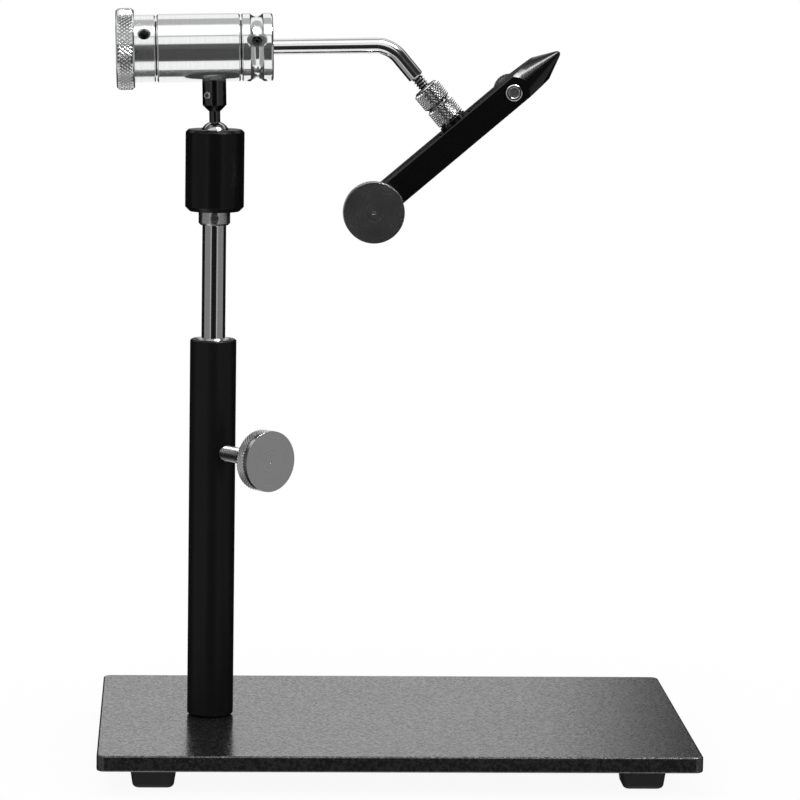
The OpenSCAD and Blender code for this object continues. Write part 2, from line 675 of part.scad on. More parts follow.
// Both jaws as one bar along X: a bevelled slab whose front is turned to a cone
module jaw_blank() {
    corner = norm([bar_t, bar_h]) / 2 + overrun;
    intersection() {
        rotate([90, 0, 90]) translate([0, 0, -bar_back]) linear_extrude(bar_back + nose_apex)
            polygon([for (q = [[1, 1], [-1, 1], [-1, -1], [1, -1]], k = [0, 1])
                let (first = (k == 0) == (q[0] * q[1] > 0))
                [q[0] * (bar_t / 2 - (first ? 0 : bar_edge)), q[1] * (bar_h / 2 - (first ? bar_edge : 0))]]);
        forwards(0) turned([[0, -bar_back - overrun], [corner, -bar_back - overrun],
            [corner, nose_apex - corner / tan(nose_angle)],
            [(nose_apex - nose_tip + nose_round) * tan(nose_angle), nose_tip - nose_round],
            [(nose_apex - nose_tip) * tan(nose_angle) - nose_round / 4, nose_tip - nose_round / 4],
            [0, nose_tip]]);
    }
}

// One side of the split, seen from above: closed at the nose and set back behind the pivot
module jaw_side(side) {
    outer = side * (bar_t / 2 + overrun);
    translate([0, 0, -bar_h]) linear_extrude(2 * bar_h) polygon([
        [nose_tip + overrun, side * split_gap / 2], [pivot_s, side * split_gap / 2],
        [pivot_s - tail_run, side * tail_gap / 2], [-bar_back - overrun, side * tail_gap / 2],
        [-bar_back - overrun, outer], [nose_tip + overrun, outer]]);
}

// Pocket for one end of the spring, on the given side of the split
module spring_hole(side) translate([spring_s, 0, 0]) rotate([-90 * side, 0, 0])
    rod_shape(spring_d + 2 * spring_room, spring_pocket);

// Rear jaw: carries the arm's thread in a block that reaches across the split
module rear_jaw() color(black) at_bar() difference() {
    union() {
        intersection() {
            jaw_blank();
            jaw_side(1);
        }
        translate([-block_w / 2, -block_depth, -bar_h / 2]) cube([block_w, block_depth + bar_t / 4, bar_h]);
        rod_shape(boss_d, bar_h / 2 + boss_h);
    }
    translate([0, 0, bar_h / 2 - arm_hole_depth])
        rod_shape(thread_d + 2 * slip, bar_h);
    translate([pivot_s, -overrun, 0]) rotate([-90, 0, 0]) rod_shape(pivot_d + 2 * slip, bar_t);
    spring_hole(1);
}

// Front jaw: rocks on the pivot screw and is set back round the rear jaw's block
module front_jaw() color(black) at_bar() difference() {
    intersection() {
        jaw_blank();
        jaw_side(-1);
    }
    translate([-block_w / 2 - pocket_play, -pocket_depth, -bar_h]) cube([block_w + 2 * pocket_play,
        bar_t, 2 * bar_h]);
    translate([pivot_s, overrun, 0]) rotate([90, 0, 0]) rod_shape(pivot_head_d + 2 * pivot_rock, bar_t);
    translate([-jaw_knob_s, overrun, 0]) rotate([90, 0, 0]) rod_shape(jaw_screw_d + 2 * play, bar_t);
    spring_hole(-1);
}

// Pivot screw: bright shouldered head in front, shank through the rear jaw to the knob
module pivot_screw() color(stainless) through_bar(pivot_s) difference() {
    union() {
        bevelled(pivot_head_d, bar_t / 2 + pivot_proud, pivot_proud / 4, pivot_proud / 2);
        translate([0, 0, -pivot_knob_end]) bevelled(pivot_d, pivot_knob_end + overrun, thread_bevel,
            thread_bevel);
    }
    translate([0, 0, bar_t / 2 + pivot_proud - pivot_recess_depth])
        rod_shape(pivot_recess_d, pivot_recess_depth + overrun);
    translate([0, 0, bar_t / 2 + pivot_proud - pivot_recess_depth - pivot_key_depth])
        key_hole(pivot_key, pivot_key_depth + overrun);
}

// Knurled knob on the pivot screw's far end
module pivot_knob() color(stainless) through_bar(pivot_s) rotate([180, 0, 0])
    translate([0, 0, pivot_knob_start]) {
    root = pivot_knob_d / 2 - knurl_depth;
    difference() {
        union() {
            translate([0, 0, knob_back_bevel])
                knurled(pivot_knob_d, pivot_knob_t - 2 * knob_back_bevel, knurl_pitch, knurl_row);
            turned([[0, 0], [root - knob_back_bevel, 0], [root - knurl_sink, knob_back_bevel],
                [root - knurl_sink, pivot_knob_t - knob_back_bevel],
                [root - knob_back_bevel, pivot_knob_t], [0, pivot_knob_t]]);
        }
        translate([0, 0, -overrun]) rod_shape(pivot_d + 2 * play, pivot_knob_t + 2 * overrun);
    }
}

// Coil spring that opens the tips when the jaw screw is backed out
module jaw_spring() color(steel) at_bar() translate([spring_s, spring_short - spring_pocket, 0])
    rotate([-90, 0, 0]) {
    coil_r = (spring_d - spring_wire) / 2;
    length = 2 * spring_pocket - spring_short - spring_wire - face_gap;
    rings = spring_turns * spring_steps;
    points = [for (k = [0:rings], i = [0:spring_sides - 1])
        let (a = 360 * k / spring_steps, b = 360 * i / spring_sides,
            r = coil_r + spring_wire / 2 * cos(b))
        [r * cos(a), r * sin(a), spring_wire / 2 + length * k / rings + spring_wire / 2 * sin(b)]];
    sides = [for (k = [0:rings - 1], i = [0:spring_sides - 1])
        let (n = (i + 1) % spring_sides, a = k * spring_sides + i, b = k * spring_sides + n)
        [[a, a + spring_sides, b], [b, a + spring_sides, b + spring_sides]]];
    ends = [[for (i = [0:spring_sides - 1]) i],
        [for (i = [spring_sides - 1:-1:0]) rings * spring_sides + i]];
    polyhedron(points, concat(ends, [for (s = sides, f = s) f]), convexity = 10);
}

// Jaw clamp: brass pad, screw and knob
module jaw_screw_pad() color(brass) through_bar(-jaw_knob_s) translate([0, 0, jaw_pad_start])
    screw_pad(jaw_pad_d, jaw_pad_t, jaw_pin_d, jaw_pin_l);
module jaw_screw() color(steel) through_bar(-jaw_knob_s) translate([0, 0, jaw_screw_start])
    pad_screw(jaw_screw_d, jaw_screw_end - jaw_screw_start, jaw_pin_d, jaw_pin_l);
module jaw_knob() color(steel) through_bar(-jaw_knob_s) translate([0, 0, jaw_knob_reach - knob_t])
    clamp_knob(jaw_screw_d + 2 * slip);

base_plate();
rubber_feet();
foot_screws();
post_tube();
post_bolt();
post_screw_pad();
post_screw();
post_knob();
post_rod();
ball_base();
base_set_screw();
ball_nut();
ball_seat();
ball_stud();
head_stem();
stem_set_screw();
head_housing();
front_bush();
rear_bush();
rotary_arm();
rotary_wheel();
wheel_set_screw();
front_collar();
collar_set_screws();
lock_nut();
adjusting_nut();
rear_jaw();
pivot_screw();
pivot_knob();
jaw_spring();
front_jaw();
jaw_screw_pad();
jaw_screw();
jaw_knob();
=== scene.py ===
"""A fly tying vise on its pedestal, dressed and lit for the photograph.

Lengths are in millimetres in each sub-assembly's own frame, and become metres where a mesh is
made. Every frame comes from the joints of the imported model.
"""
import json
import logging
import math
from dataclasses import dataclass
from enum import Enum
from typing import Any, Callable, Sequence

import bmesh
import bpy
from mathutils import Matrix, Vector


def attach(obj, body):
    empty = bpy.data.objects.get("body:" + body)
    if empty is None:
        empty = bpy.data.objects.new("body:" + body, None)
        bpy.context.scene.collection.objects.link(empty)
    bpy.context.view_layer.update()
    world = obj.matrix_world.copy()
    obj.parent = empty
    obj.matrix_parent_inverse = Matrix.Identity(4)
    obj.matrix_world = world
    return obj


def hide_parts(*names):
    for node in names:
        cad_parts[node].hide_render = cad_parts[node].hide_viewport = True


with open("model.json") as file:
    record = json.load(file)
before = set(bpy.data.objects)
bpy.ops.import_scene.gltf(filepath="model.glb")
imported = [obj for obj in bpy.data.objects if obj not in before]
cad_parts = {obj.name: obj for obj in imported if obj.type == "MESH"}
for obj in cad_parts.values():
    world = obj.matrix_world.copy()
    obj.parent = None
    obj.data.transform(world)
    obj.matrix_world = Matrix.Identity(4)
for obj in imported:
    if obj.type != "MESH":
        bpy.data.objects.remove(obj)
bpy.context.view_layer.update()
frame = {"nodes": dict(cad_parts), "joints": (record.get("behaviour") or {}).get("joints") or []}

log = logging.getLogger("vise")
MM = 0.001
ON_AXIS = 1e-5  # a smaller radius lies on the axis
NEAR = 0.05  # distance from a boundary at which a face still belongs to it
LEAST_REACH, MOST_REACH = 0.004, 0.45  # of a rounding: in millimetres, and of a side's length
TOUCHING = 0.01  # heights nearer than this count as one
NEARLY_STRAIGHT = 1.5  # half of a corner's angle, in radians, that needs no rounding
Point = tuple[float, float, float]
Colour = tuple[float, float, float]
Corner = tuple[float, ...]
Profile = list[tuple[float, float]]


def joint_at(name: str) -> Vector:
    """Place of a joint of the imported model, in millimetres."""
    return Vector(next(j for j in frame["joints"] if j["name"] == name)["pos_m"]) / MM


def joint_axis(name: str) -> Vector:
    """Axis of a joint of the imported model, as a unit vector."""
    return Vector(next(j for j in frame["joints"] if j["name"] == name)["axis"]).normalized()


def placed(origin: Vector, z: Vector, x: Vector) -> Matrix:
    """Builds the matrix of a local frame, in millimetres.

    Args:
        origin: where the frame stands
        z: direction of its Z
        x: a direction near its X
    Returns:
        the frame's matrix
    """
    up = z.normalized()
    side = up.cross(x).normalized()
    axes = Matrix((side.cross(up), side, up)).transposed().to_4x4()
    return Matrix.Translation(origin) @ axes


def rounded(corners: Sequence[Corner], radius: float, steps: int = 4) -> Profile:
    """Rounds the corners of an open profile.

    Args:
        corners: points of radius and height; a third number is that corner's own rounding
        radius: rounding of a corner that has no third number
        steps: chords in each rounding
    Returns:
        the points of the rounded profile
    """
    points = [(corners[0][0], corners[0][1])]
    for before, here, after in zip(corners, corners[1:], corners[2:]):
        corner = Vector(here[:2])
        back, on = Vector(before[:2]) - corner, Vector(after[:2]) - corner
        size = here[2] if len(here) > 2 else radius
        half = back.angle(on) / 2
        reach = min(size / math.tan(half), MOST_REACH * back.length, MOST_REACH * on.length)
        if reach < LEAST_REACH or half > NEARLY_STRAIGHT:
            points.append((corner.x, corner.y))
            continue
        back.normalize()
        on.normalize()
        arc = reach * math.tan(half)
        centre = corner + (back + on).normalized() * (arc / math.sin(half))
        first = (corner + back * reach - centre).normalized()
        last = (corner + on * reach - centre).normalized()
        for k in range(steps + 1):
            point = centre + arc * first.slerp(last, k / steps)
            points.append((max(0.0, point.x), point.y))
    points.append((corners[-1][0], corners[-1][1]))
    return points


def rounded_square(size: tuple[float, float], corner: float, z: float,
                   at: tuple[float, float] = (0.0, 0.0), chords: int = 8) -> list[Point]:
    """Outline of a rectangle with round corners.

    Args:
        size: its width and depth
        corner: radius of its corners
        z: height that it lies at
        at: where its middle stands
        chords: sides of each round corner
    Returns:
        the points of the outline
    """
    points = []
    for quarter, (sx, sy) in enumerate(((1, 1), (-1, 1), (-1, -1), (1, -1))):
        cx, cy = at[0] + sx * (size[0] / 2 - corner), at[1] + sy * (size[1] / 2 - corner)
        for k in range(chords + 1):
            a = math.pi / 2 * (quarter + k / chords)
            points.append((cx + corner * math.cos(a), cy + corner * math.sin(a), z))
    return points


class Shape:
    """A surface that grows part by part, in millimetres in its own frame."""

    def __init__(self) -> None:
        """Starts with nothing."""
        self.points: list[Sequence[float]] = []
        self.faces: list[tuple[int, ...]] = []

    def ring(self, points: Sequence[Sequence[float]]) -> list[int]:
        """Adds points and returns their numbers.

        Args:
            points: the points, in millimetres
        Returns:
            the numbers that faces use for them
        """
        start = len(self.points)
        self.points.extend(points)
        return list(range(start, start + len(points)))

    def bridge(self, low: Sequence[int], high: Sequence[int]) -> None:
        """Joins two closed rings of the same count with faces.

        Args:
            low: numbers of the first ring's points
            high: numbers of the second ring's points
        """
        count = len(low)
        for i in range(count):
            j = (i + 1) % count
            face = tuple(dict.fromkeys((low[i], low[j], high[j], high[i])))
            if len(face) > 2:
                self.faces.append(face)

    def skin(self, rings: Sequence[Sequence[Sequence[float]]]) -> "Shape":
        """Covers a row of rings and closes both ends with one face each.

        Args:
            rings: points of each ring, in order
        Returns:
            the shape itself
        """
        numbers = [self.ring(points) for points in rings]
        for low, high in zip(numbers, numbers[1:]):
            self.bridge(low, high)
        self.faces += [tuple(numbers[0]), tuple(reversed(numbers[-1]))]
        return self

    def revolve(self, profile: Profile, steps: int = 144, closed: bool = False) -> "Shape":
        """Turns a profile about Z.

        Args:
            profile: points of radius and height
            steps: sides of the turned surface
            closed: whether the last point joins the first, as in a tube
        Returns:
            the shape itself
        """
        turns = [(math.cos(math.tau * i / steps), math.sin(math.tau * i / steps))
                 for i in range(steps)]
        numbers = []
        for r, z in profile:
            if r < ON_AXIS:
                numbers.append(self.ring([(0.0, 0.0, z)]) * steps)
            else:
                numbers.append(self.ring([(r * c, r * s, z) for c, s in turns]))
        for low, high in zip(numbers, numbers[1:] + numbers[:1] if closed else numbers[1:]):
            self.bridge(low, high)
        return self

    def knurl(self, d: float, low: float, high: float, pitch: float, row: float, depth: float,
              flat: float = 0.3, lap: float = 0.5) -> "Shape":
        """Adds a closed band of diamond points cut off flat at their tops.

        Args:
            d: diameter over the points
            low: height of the band's low end
            high: height of its high end
            pitch: width of a diamond round the band
            row: half the height of a diamond
            depth: depth of the grooves
            flat: how much of a diamond is left flat
            lap: how far the band's inner face lies under its grooves
        Returns:
            the shape itself
        """
        around = 2 * round(math.pi * d / pitch)
        rows = max(2, round((high - low) / row))
        root = d / 2 - depth

        def point(i: float, j: float, r: float) -> Point:
            """Place on the band, by step round it, row up it and radius."""
            a = math.tau * i / around
            return r * math.cos(a), r * math.sin(a), low + (high - low) * j / rows

        grid = {(i, j): self.ring([point(i, j, root)])[0]
                for j in range(rows + 1) for i in range(around) if (i + j) % 2}
        for j in range(rows + 1):
            for i in range(j % 2, around, 2):
                left, right = grid[(i - 1) % around, j], grid[(i + 1) % around, j]
                below, above = grid.get((i, j - 1)), grid.get((i, j + 1))
                if below is None or above is None:
                    self.faces.append((left, right, above if below is None else below))
                    continue
                outer = [left, below, right, above]
                inner = self.ring([point(i - flat, j, d / 2), point(i, j - flat, d / 2),
                                   point(i + flat, j, d / 2), point(i, j + flat, d / 2)])
                self.faces.append(tuple(inner))
                self.bridge(outer, inner)
        ends = []
        for j in (0, rows):
            steps = [i for i in range(around) if (i + j) % 2]
            ends.append(self.ring([point(i, j, root - lap) for i in steps]))
            self.bridge(ends[-1], [grid[i, j] for i in steps])
        if rows % 2:
            ends[1] = ends[1][1:] + ends[1][:1]
        self.bridge(ends[0], ends[1])
        return self

    def thread(self, d: float, low: float, high: float, pitch: float, steps: int = 56,
               levels_a_turn: int = 12, depth: float = 0.55, crest: float = 0.12,
               run_out: float = 0.9) -> "Shape":
        """Adds a threaded shank along Z.

        Args:
            d: diameter over the thread
            low: height of its low end
            high: height of its high end
            pitch: climb of one turn
            steps: sides of the shank
            levels_a_turn: rings in one pitch
            depth: depth of the groove, in pitches
            crest: part of a pitch that is flat, at the crest and again at the root
            run_out: how much of the depth the shank loses at both ends
        Returns:
            the shape itself
        """
        levels = max(8, round(levels_a_turn * (high - low) / pitch))
        rings = []
        for k in range(levels + 1):
            z = low + (high - low) * k / levels
            fade = min(1.0, (z - low) / pitch, (high - z) / pitch)
            ring = []
            for i in range(steps):
                turn = (z / pitch - i / steps) % 1
                slope = (abs(2 * turn - 1) - crest) / (1 - 2 * crest)
                groove = min(1.0, max(0.0, slope))
                r = d / 2 - depth * pitch * (groove * fade + (1 - fade) * run_out)
                a = math.tau * i / steps
                ring.append((r * math.cos(a), r * math.sin(a), z))
            rings.append(ring)
        return self.skin(rings)

    def object(self, name: str) -> bpy.types.Object:
        """Makes a Blender object of the shape, with its faces turned outwards.

        Args:
            name: the object's name
        Returns:
            the object, linked to the scene
        """
        mesh = bpy.data.meshes.new(name)
        mesh.from_pydata([tuple(c * MM for c in p) for p in self.points], [], self.faces)
        work = bmesh.new()
        work.from_mesh(mesh)
        bmesh.ops.recalc_face_normals(work, faces=work.faces)
        work.to_mesh(mesh)
        work.free()
        item = bpy.data.objects.new(name, mesh)
        bpy.context.scene.collection.objects.link(item)
        return item


def plug(profile: Profile, steps: int) -> Shape:
    """Turned cutter of a profile from low to high, closed on the axis at both ends."""
    low, high = profile[0][1], profile[-1][1]
    return Shape().revolve([(0, low), *profile, (0, high)], steps)


def bake(item: bpy.types.Object) -> None:
    """Applies an object's modifiers to its mesh.

    Args:
        item: the object
    """
    graph = bpy.context.evaluated_depsgraph_get()
    mesh = bpy.data.meshes.new_from_object(item.evaluated_get(graph))
    item.modifiers.clear()
    item.data = mesh


def piece(name: str, shape: Shape, place: Matrix, body: str, finish: "Finishes",
          nodes: Sequence[str], cuts: Sequence[tuple[Shape, Matrix]] = (), crease: float = 32.0,
          flat_weight: int = 80) -> bpy.types.Object:
    """Makes one finished piece of the object.

    Args:
        name: the piece's name
        shape: its surface
        place: frame that it stands in, in millimetres
        body: CAD body that it rides on
        finish: what its surface looks like
        nodes: CAD nodes that it stands for
        cuts: shapes taken out of it, each with its frame
        crease: angle in degrees from which an edge is sharp
        flat_weight: how much large faces rule the shading, from 50 for not at all
    Returns:
        the piece
    """
    item = shape.object(name)
    item.matrix_world = metres(place)
    for cutter, where in cuts:
        tool = cutter.object(name + "_cut")
        tool.matrix_world = metres(where)
        bpy.context.view_layer.update()
        step = item.modifiers.new("cut", "BOOLEAN")
        step.operation, step.solver, step.object = "DIFFERENCE", "EXACT", tool
        bake(item)
        bpy.data.objects.remove(tool)
    item.data.shade_smooth()
    item.data.set_sharp_from_angle(angle=math.radians(crease))
    even = item.modifiers.new("even", "WEIGHTED_NORMAL")
    even.keep_sharp, even.weight = True, flat_weight
    bake(item)
    item.data.materials.clear()
    item.data.materials.append(finish.value.material())
    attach(item, body)
    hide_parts(*nodes)
    log.info("piece %s on %s, %d faces, for %s", name, body, len(item.data.polygons),
             ", ".join(nodes))
    return item


def metres(place: Matrix) -> Matrix:
    """Frame in metres from a frame in millimetres.

    Args:
        place: the frame in millimetres
    Returns:
        the same frame in metres
    """
    made = place.copy()
    made.translation = place.translation * MM
    return made


def two_tone(item: bpy.types.Object, finish: "Finishes",
             inside: Callable[[Vector], bool]) -> None:
    """Gives some faces of a piece a second finish.

    Args:
        item: the piece
        finish: the second finish
        inside: tells from a face's centre, in the piece's own millimetres, whether it gets it
    """
    item.data.materials.append(finish.value.material())
    for face in item.data.polygons:
        face.material_index = int(inside(face.center / MM))


def carried(node: str, finish: "Finishes", place: Matrix) -> None:
    """Gives a CAD node a finish whose pattern lies in the given frame.

    Args:
        node: the node's name
        finish: what its surface looks like
        place: frame of the pattern, in millimetres
    """
    item = frame["nodes"][node]
    item.data.materials.clear()
    item.data.materials.append(finish.value.material(place, node))
    log.info("node %s keeps its shape, finish %s", node, finish.value.name)


class Wire:
    """A number carried by a shader socket; arithmetic on it adds Math nodes."""

    def __init__(self, graph: "Graph", socket: bpy.types.NodeSocket) -> None:
        """Wraps a socket of a graph."""
        self.graph, self.socket = graph, socket

    def math(self, operation: str, *others: Any) -> "Wire":
        """Runs a Math node on this number and others."""
        return self.graph.math(operation, self, *others)

    def __add__(self, other: Any) -> "Wire":
        """Sum."""
        return self.math("ADD", other)

    __radd__ = __add__

    def __sub__(self, other: Any) -> "Wire":
        """Difference."""
        return self.math("SUBTRACT", other)

    def __rsub__(self, other: Any) -> "Wire":
        """Difference, taken from a number."""
        return self.graph.math("SUBTRACT", other, self)

    def __mul__(self, other: Any) -> "Wire":
        """Product."""
        return self.math("MULTIPLY", other)

    __rmul__ = __mul__

    def __pow__(self, other: Any) -> "Wire":
        """Power."""
        return self.math("POWER", other)

    def __abs__(self) -> "Wire":
        """Distance from zero."""
        return self.math("ABSOLUTE")

    def step(self, low: float, high: float) -> "Wire":
        """Climbs softly from 0 at low to 1 at high.

        Args:
            low: number where the climb starts
            high: number where it ends
        Returns:
            the share of the climb
        """
        node = self.graph.node("ShaderNodeMapRange", {"interpolation_type": "SMOOTHSTEP"},
                               {"Value": self, "From Min": low, "From Max": high})
        return Wire(self.graph, node.outputs[0])

    def within(self, low: float, high: float, soft: float) -> "Wire":
        """Is 1 between two numbers and falls softly to 0 outside them."""
        return self.step(low - soft, low + soft) * (1 - self.step(high - soft, high + soft))

    def painted(self, mask: "Wire", level: Any) -> "Wire":
        """Keeps its own value where a mask is 0 and takes the given level where it is 1."""
        return self * (1 - mask) + level * mask


class Graph:
    """The nodes of one material or world."""

    def __init__(self, tree: bpy.types.NodeTree) -> None:
        """Empties a node tree and takes it over."""
        self.tree = tree
        tree.nodes.clear()

    def node(self, kind: str, settings: dict[str, Any], inputs: dict[Any, Any]) -> bpy.types.Node:
        """Adds a node.

        Args:
            kind: the node's type
            settings: its own settings, set first
            inputs: values or links of its sockets, by name or number
        Returns:
            the node
        """
        made = self.tree.nodes.new(kind)
        for name, value in settings.items():
            setattr(made, name, value)
        for key, value in inputs.items():
            socket = made.inputs[key]
            if isinstance(value, Wire):
                value = value.socket
            if isinstance(value, bpy.types.NodeSocket):
                self.tree.links.new(value, socket)
            elif socket.type == "RGBA" and len(value) == 3:
                socket.default_value = (*value, 1.0)
            else:
                socket.default_value = value
        return made

    def math(self, operation: str, *values: Any) -> Wire:
        """Adds a Math node on numbers and wires."""
        made = self.node("ShaderNodeMath", {"operation": operation}, dict(enumerate(values)))
        return Wire(self, made.outputs[0])

    def mix(self, factor: Any, first: Any, second: Any) -> bpy.types.NodeSocket:
        """Mixes two colours."""
        return self.node("ShaderNodeMix", {"data_type": "RGBA"},
                         {0: factor, 6: first, 7: second}).outputs[2]

    def place(self, frame_mm: Matrix | None) -> bpy.types.NodeSocket:
        """Coordinates in millimetres in the piece's own frame, or in a given one.

        Args:
            frame_mm: the given frame, in millimetres, or none
        Returns:
            the coordinates
        """
        source = self.node("ShaderNodeTexCoord", {}, {}).outputs["Object"]
        if frame_mm is not None:
            source = self.node("ShaderNodeMapping", {"vector_type": "TEXTURE"}, {
                "Vector": source, "Location": tuple(frame_mm.translation * MM),
                "Rotation": tuple(frame_mm.to_euler())}).outputs[0]
        return self.node("ShaderNodeVectorMath", {"operation": "SCALE"},
                         {0: source, "Scale": 1 / MM}).outputs[0]

    def split(self, vector: bpy.types.NodeSocket) -> tuple[Wire, Wire, Wire]:
        """Takes a vector apart into three numbers."""
        made = self.node("ShaderNodeSeparateXYZ", {}, {0: vector})
        return tuple(Wire(self, out) for out in made.outputs)

    def noise(self, vector: bpy.types.NodeSocket, scale: float, detail: float = 3.0,
              rough: float = 0.5) -> Wire:
        """Cloudy pattern in three dimensions, about 0.5.

        Args:
            vector: coordinates in millimetres
            scale: clouds in a millimetre
            detail: how many finer sizes are added
            rough: how strong each finer size is
        Returns:
            the pattern
        """
        made = self.node("ShaderNodeTexNoise", {}, {
            "Vector": vector, "Scale": scale, "Detail": detail, "Roughness": rough})
        return Wire(self, made.outputs[0])

    def lines(self, along: Wire, scale: float, detail: float = 2.0) -> Wire:
        """Lines that follow one number, about 0.5.

        Args:
            along: the number
            scale: lines in one unit of it
            detail: how many finer sizes are added
        Returns:
            the pattern
        """
        made = self.node("ShaderNodeTexNoise", {"noise_dimensions": "1D"}, {
            "W": along, "Scale": scale, "Detail": detail})
        return Wire(self, made.outputs[0])

    def bump(self, height: Wire, millimetres: float) -> bpy.types.NodeSocket:
        """Normal that a height pattern gives; one unit of height is so many millimetres."""
        return self.node("ShaderNodeBump", {}, {
            "Height": height, "Distance": millimetres * MM, "Strength": 1.0}).outputs[0]

    def surface(self, inputs: dict[Any, Any]) -> None:
        """Closes a material with a Principled shader."""
        shader = self.node("ShaderNodeBsdfPrincipled", {}, inputs)
        self.node("ShaderNodeOutputMaterial", {}, {"Surface": shader.outputs[0]})


@dataclass(frozen=True)
class Finish:
    """What all finishes share; one of them makes a material for each frame it is used in."""

    name: str

    def material(self, place: Matrix | None = None, suffix: str = "") -> bpy.types.Material:
        """Returns the finish as a material.

        Args:
            place: frame in millimetres that the pattern lies in, or none for the piece's own
            suffix: what tells this material from others of the same finish
        Returns:
            the material
        """
        name = f"{self.name}_{suffix}" if suffix else self.name
        known = bpy.data.materials.get(name)
        if known:
            return known
        made = bpy.data.materials.new(name)
        made.use_nodes = True
        graph = Graph(made.node_tree)
        self.shade(graph, graph.place(place))
        return made

    def shade(self, g: Graph, at: bpy.types.NodeSocket) -> None:
        """Builds the nodes of the finish at the given coordinates."""
        raise NotImplementedError


@dataclass(frozen=True)
class TurnedMetal(Finish):
    """Bare metal from a lathe: fine lines round its sides and rings on its faces, with painted
    shade in the grooves of a knurl or thread.
    """

    colour: Colour = (0.62, 0.62, 0.63)
    roughness: float = 0.2
    cut: float = 0.0006
    ring_shade: float = 0.12
    shade_radii: tuple[float, float] | None = None  # radii in which the painted shade of the grooves fades out
    band: tuple[float, float] = (-1.0e4, 1.0e4)  # heights between which the grooves lie
    # how strongly the painted shade darkens the grooves
    groove_shade: float = 0.7
    metallic: float = 1.0

    def shade(self, g: Graph, at: bpy.types.NodeSocket) -> None:
        """Lines follow height plus radius, so they run round the sides and ring the faces.

        Args:
            g: graph of the material
            at: coordinates in millimetres
        """
        x, y, z = g.split(at)
        radius = (x * x + y * y) ** 0.5
        along = radius + z
        fine = g.lines(along, scale=9.0, detail=3.0)
        coarse = g.lines(along, scale=1.3, detail=1.0)
        smudge = g.noise(at, scale=0.12)
        shade = 1 - self.ring_shade * (0.6 * fine + 0.9 * coarse - 0.25)
        # painted shade: the knurl or thread grooves are darkened in colour, standing in for the
        # shade that falls in them
        if self.shade_radii:
            grooves = (1 - radius.step(*self.shade_radii)) * z.within(*self.band, NEAR)
            shade = shade * (1 - self.groove_shade * grooves)
        colour = g.mix(shade, (0.0, 0.0, 0.0), self.colour)
        g.surface({
            "Base Color": colour, "Metallic": self.metallic,
            "Roughness": self.roughness + 0.10 * (fine - 0.5) + 0.08 * (smudge - 0.5),
            "Normal": g.bump(fine, self.cut),
        })


@dataclass(frozen=True)
class PowderCoat(Finish):
    """Black powder coat with a fine orange-peel grain."""

    colour: Colour = (0.012, 0.012, 0.0125)
    grain: float = 0.8
    depth: float = 0.06
    roughness: float = 0.23

    def shade(self, g: Graph, at: bpy.types.NodeSocket) -> None:
        """Two sizes of grain in the height, and a speckle in colour, gloss and roughness.

        Args:
            g: graph of the material
            at: coordinates in millimetres
        """
        peel = g.noise(at, scale=self.grain, detail=2.0)
        fine = g.noise(at, scale=5.0 * self.grain, detail=2.0)
        drift = g.noise(at, scale=0.03, detail=2.0)
        speck = (0.6 * fine + peel - 0.8).step(-0.1, 0.1)
        dark, light = (tuple(share * c for c in self.colour) for share in (0.75, 1.25))
        g.surface({
            "Base Color": g.mix(speck, dark, light),
            "Roughness": self.roughness + 0.18 * (speck - 0.5) + 0.08 * (drift - 0.5),
            "Normal": g.bump(peel + 0.35 * fine, self.depth),
            "Specular IOR Level": 0.75, "Coat Weight": 0.08 + 0.88 * speck,
            "Coat Roughness": 0.14,
        })


@dataclass(frozen=True)
class SatinBlack(Finish):
    """Smooth black paint or oxide with a soft sheen."""

    colour: Colour = (0.006, 0.006, 0.0065)
    marked: float = 1.9
    roughness: float = 0.36
    depth: float = 0.004
    sheen_spots: float = 0.06
    gloss: float = 0.3

    def shade(self, g: Graph, at: bpy.types.NodeSocket) -> None:
        """Faint grain in height, dull patches in roughness and handling marks in colour.

        Args:
            g: graph of the material
            at: coordinates in millimetres
        """
        grain, patch = g.noise(at, scale=3.2), g.noise(at, scale=0.11, detail=4.0)
        mark = g.noise(at, scale=0.6, detail=5.0, rough=0.7).step(0.58, 0.8)
        light = tuple(self.marked * c for c in self.colour)
        g.surface({
            "Base Color": g.mix(0.6 * mark + 0.3 * patch, self.colour, light),
            "Roughness": self.roughness + self.sheen_spots * (patch - 0.5) + 0.06 * (grain - 0.5),
            "Normal": g.bump(grain, self.depth),
            "Specular IOR Level": self.gloss,
        })


@dataclass(frozen=True)
class Rubber(Finish):
    """Moulded black rubber, matt and a little dusty."""

    colour: Colour = (0.012, 0.012, 0.0125)
    dust: Colour = (0.05, 0.048, 0.045)
    depth: float = 0.03

    def shade(self, g: Graph, at: bpy.types.NodeSocket) -> None:
        """Pebbled grain, with dust in its low places.

        Args:
            g: graph of the material
            at: coordinates in millimetres
        """
        pebble = g.noise(at, scale=2.4, detail=4.0, rough=0.6)
        cloud = g.noise(at, scale=0.2)
        settled = (1 - pebble).step(0.45, 0.75) * cloud
        g.surface({
            "Base Color": g.mix(0.5 * settled, self.colour, self.dust),
            "Roughness": 0.62 + 0.2 * (cloud - 0.5),
            "Normal": g.bump(pebble, self.depth),
        })


